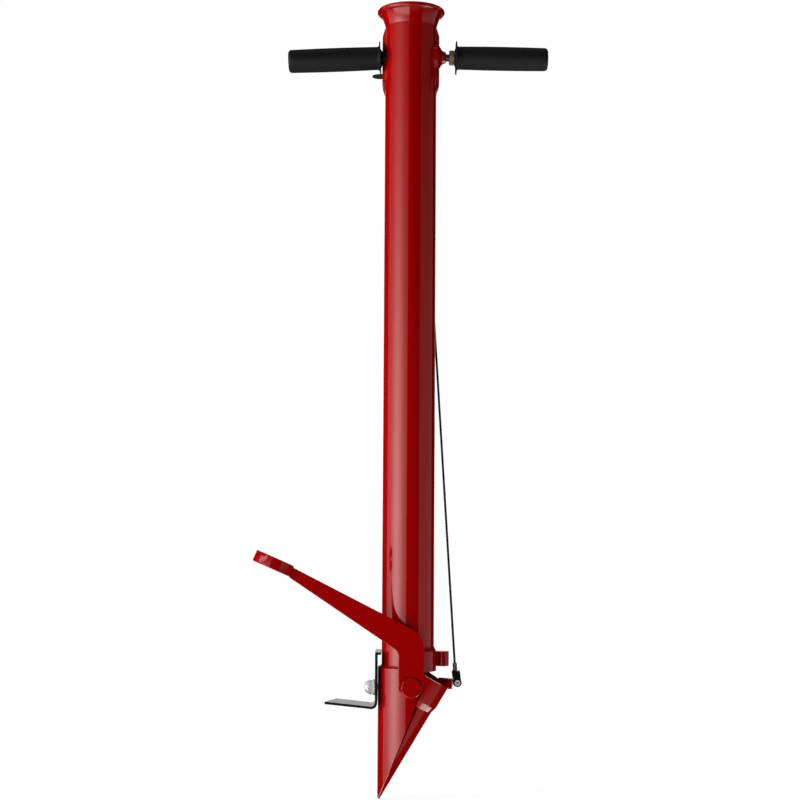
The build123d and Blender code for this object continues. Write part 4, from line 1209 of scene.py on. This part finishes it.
@dataclass
class Trigger:
    """Rocker at the back of the head with its pivot and over-centre spring, in millimetres and degrees."""

    lever_edge: float = 0.4
    pin_edge: float = 0.3
    low: Triple = (-25.78, 59.5, 726.58)
    high: Triple = (-21.5, 59.5, 784.0)
    wire_radius: float = 0.8
    coil_radius: float = 4.2
    pitch: float = 2.3
    turns: int = 14
    turn_steps: int = 20
    hook_radius: float = 3.8
    hook_angle: float = 250.0
    lead_pull: float = 0.4
    lead_steps: int = 8

    def build(self) -> None:
        """Dress the rocker and wind its spring."""
        fit_eased({"trigger_lever": self.lever_edge}, "_painted", Body.TRIGGER, Finishes.MATT_POWDER)
        fixed = ("trigger_bolt", "trigger_washer", "toggle_post")
        turning = ("cable_pin", "toggle_pin")
        for body, nodes in ((Body.FRAME, fixed), (Body.TRIGGER, turning)):
            fit_eased(dict.fromkeys(nodes, self.pin_edge), "_plated", body, Finishes.BRIGHT_ZINC)
        paint_solids(Finishes.TURNED_BRONZE, "trigger_bush")
        spring = wire(self.spring_line(), self.wire_radius)
        fit(spring, "toggle_spring_wound", Body.TOGGLE_SPRING, Finishes.TEMPERED_WIRE, "toggle_spring")

    def lead(self, start: Vector, start_way: Vector, end: Vector, end_way: Vector) -> list[Vector]:
        """Smooth lead from the end of one stretch of wire to the start of the next."""
        pull = (end - start).length * self.lead_pull
        return interpolate_bezier(start, start + start_way * pull, end - end_way * pull, end, self.lead_steps)

    def spring_line(self) -> list[Vector]:
        """Middle line of the over-centre spring, from its lower hook to its upper one.

        Returns:
            Points along the wire.
        """
        low, high = Vector(self.low), Vector(self.high)
        up = (high - low).normalized()
        right = Vector((up.z, 0, -up.x))
        deep = Vector((0, 1, 0))
        coil_start = ((high - low).length - self.pitch * self.turns) / 2
        straight = coil_start - self.coil_radius

        def hook(centre: Vector, angle: float) -> Vector:
            """Point on a hook's round."""
            x, z = polar(self.hook_radius, angle)
            return centre + right * x + up * z

        def coil(turn: float) -> Vector:
            """Point on the coil, counted in turns from its foot."""
            x, y = polar(self.coil_radius, 360 * turn + 90)
            return low + up * (coil_start + self.pitch * turn) + right * x + deep * y

        def coil_way(turn: float) -> Vector:
            """Direction of the wire at that point."""
            x, y = polar(tau * self.coil_radius, 360 * turn + 180)
            return (up * self.pitch + right * x + deep * y).normalized()

        low_hook = [hook(low, angle) for angle in spaced(-self.hook_angle, 0, self.turn_steps)]
        high_hook = [hook(high, angle) for angle in spaced(180, 180 - self.hook_angle, self.turn_steps)]
        winding = [coil(turn) for turn in spaced(0, self.turns, self.turn_steps * self.turns)]
        first = self.lead(low_hook[-1] + up * straight, up, winding[0], coil_way(0))
        last = self.lead(winding[-1], coil_way(self.turns), high_hook[0] - up * straight, up)
        return [*low_hook, *first, *winding[1:-1], *last, *high_hook]


@dataclass
class DepthStop:
    """Black bent strip with its clamp, and the width of their rounded edges in millimetres."""

    strip_edge: float = 0.5
    washer_edge: float = 0.35
    nut_edge: float = 0.3

    def build(self) -> None:
        """Dress the strip, the cap nut and its washer, and paint the stud."""
        fit_eased({"depth_stop": self.strip_edge}, "_painted", Body.DEPTH_STOP, Finishes.SATIN_POWDER)
        # The cap nut's near-white zinc is partly painted highlight.
        clamp = {"depth_washer": self.washer_edge, "depth_cap_nut": self.nut_edge}
        fit_eased(clamp, "_plated", Body.FRAME, Finishes.BRIGHT_ZINC)
        paint_solids(Finishes.BRIGHT_ZINC, "depth_stud")


def main() -> None:
    """Build the studio and then each sub-assembly."""
    logging.basicConfig(level=logging.INFO, format="%(message)s")
    # The left grip's black sleeve reaches in to the tube as painted shade beside its flange.
    left = Handle("left", turn=-1.0, start=37.53, droop=2.4, sleeve=4.3)
    right = Handle("right", turn=1.0, start=56.2, droop=0.7, sleeve=0.1)
    handles = (left, right, HandleStud(right))
    jaws = (Beak(), ClosingSpring(), Pedal(), Cable(), Trigger())
    for assembly in (Studio(), Head(), *handles, *jaws, DepthStop()):
        assembly.build()


if __name__ == "__main__":
    main()
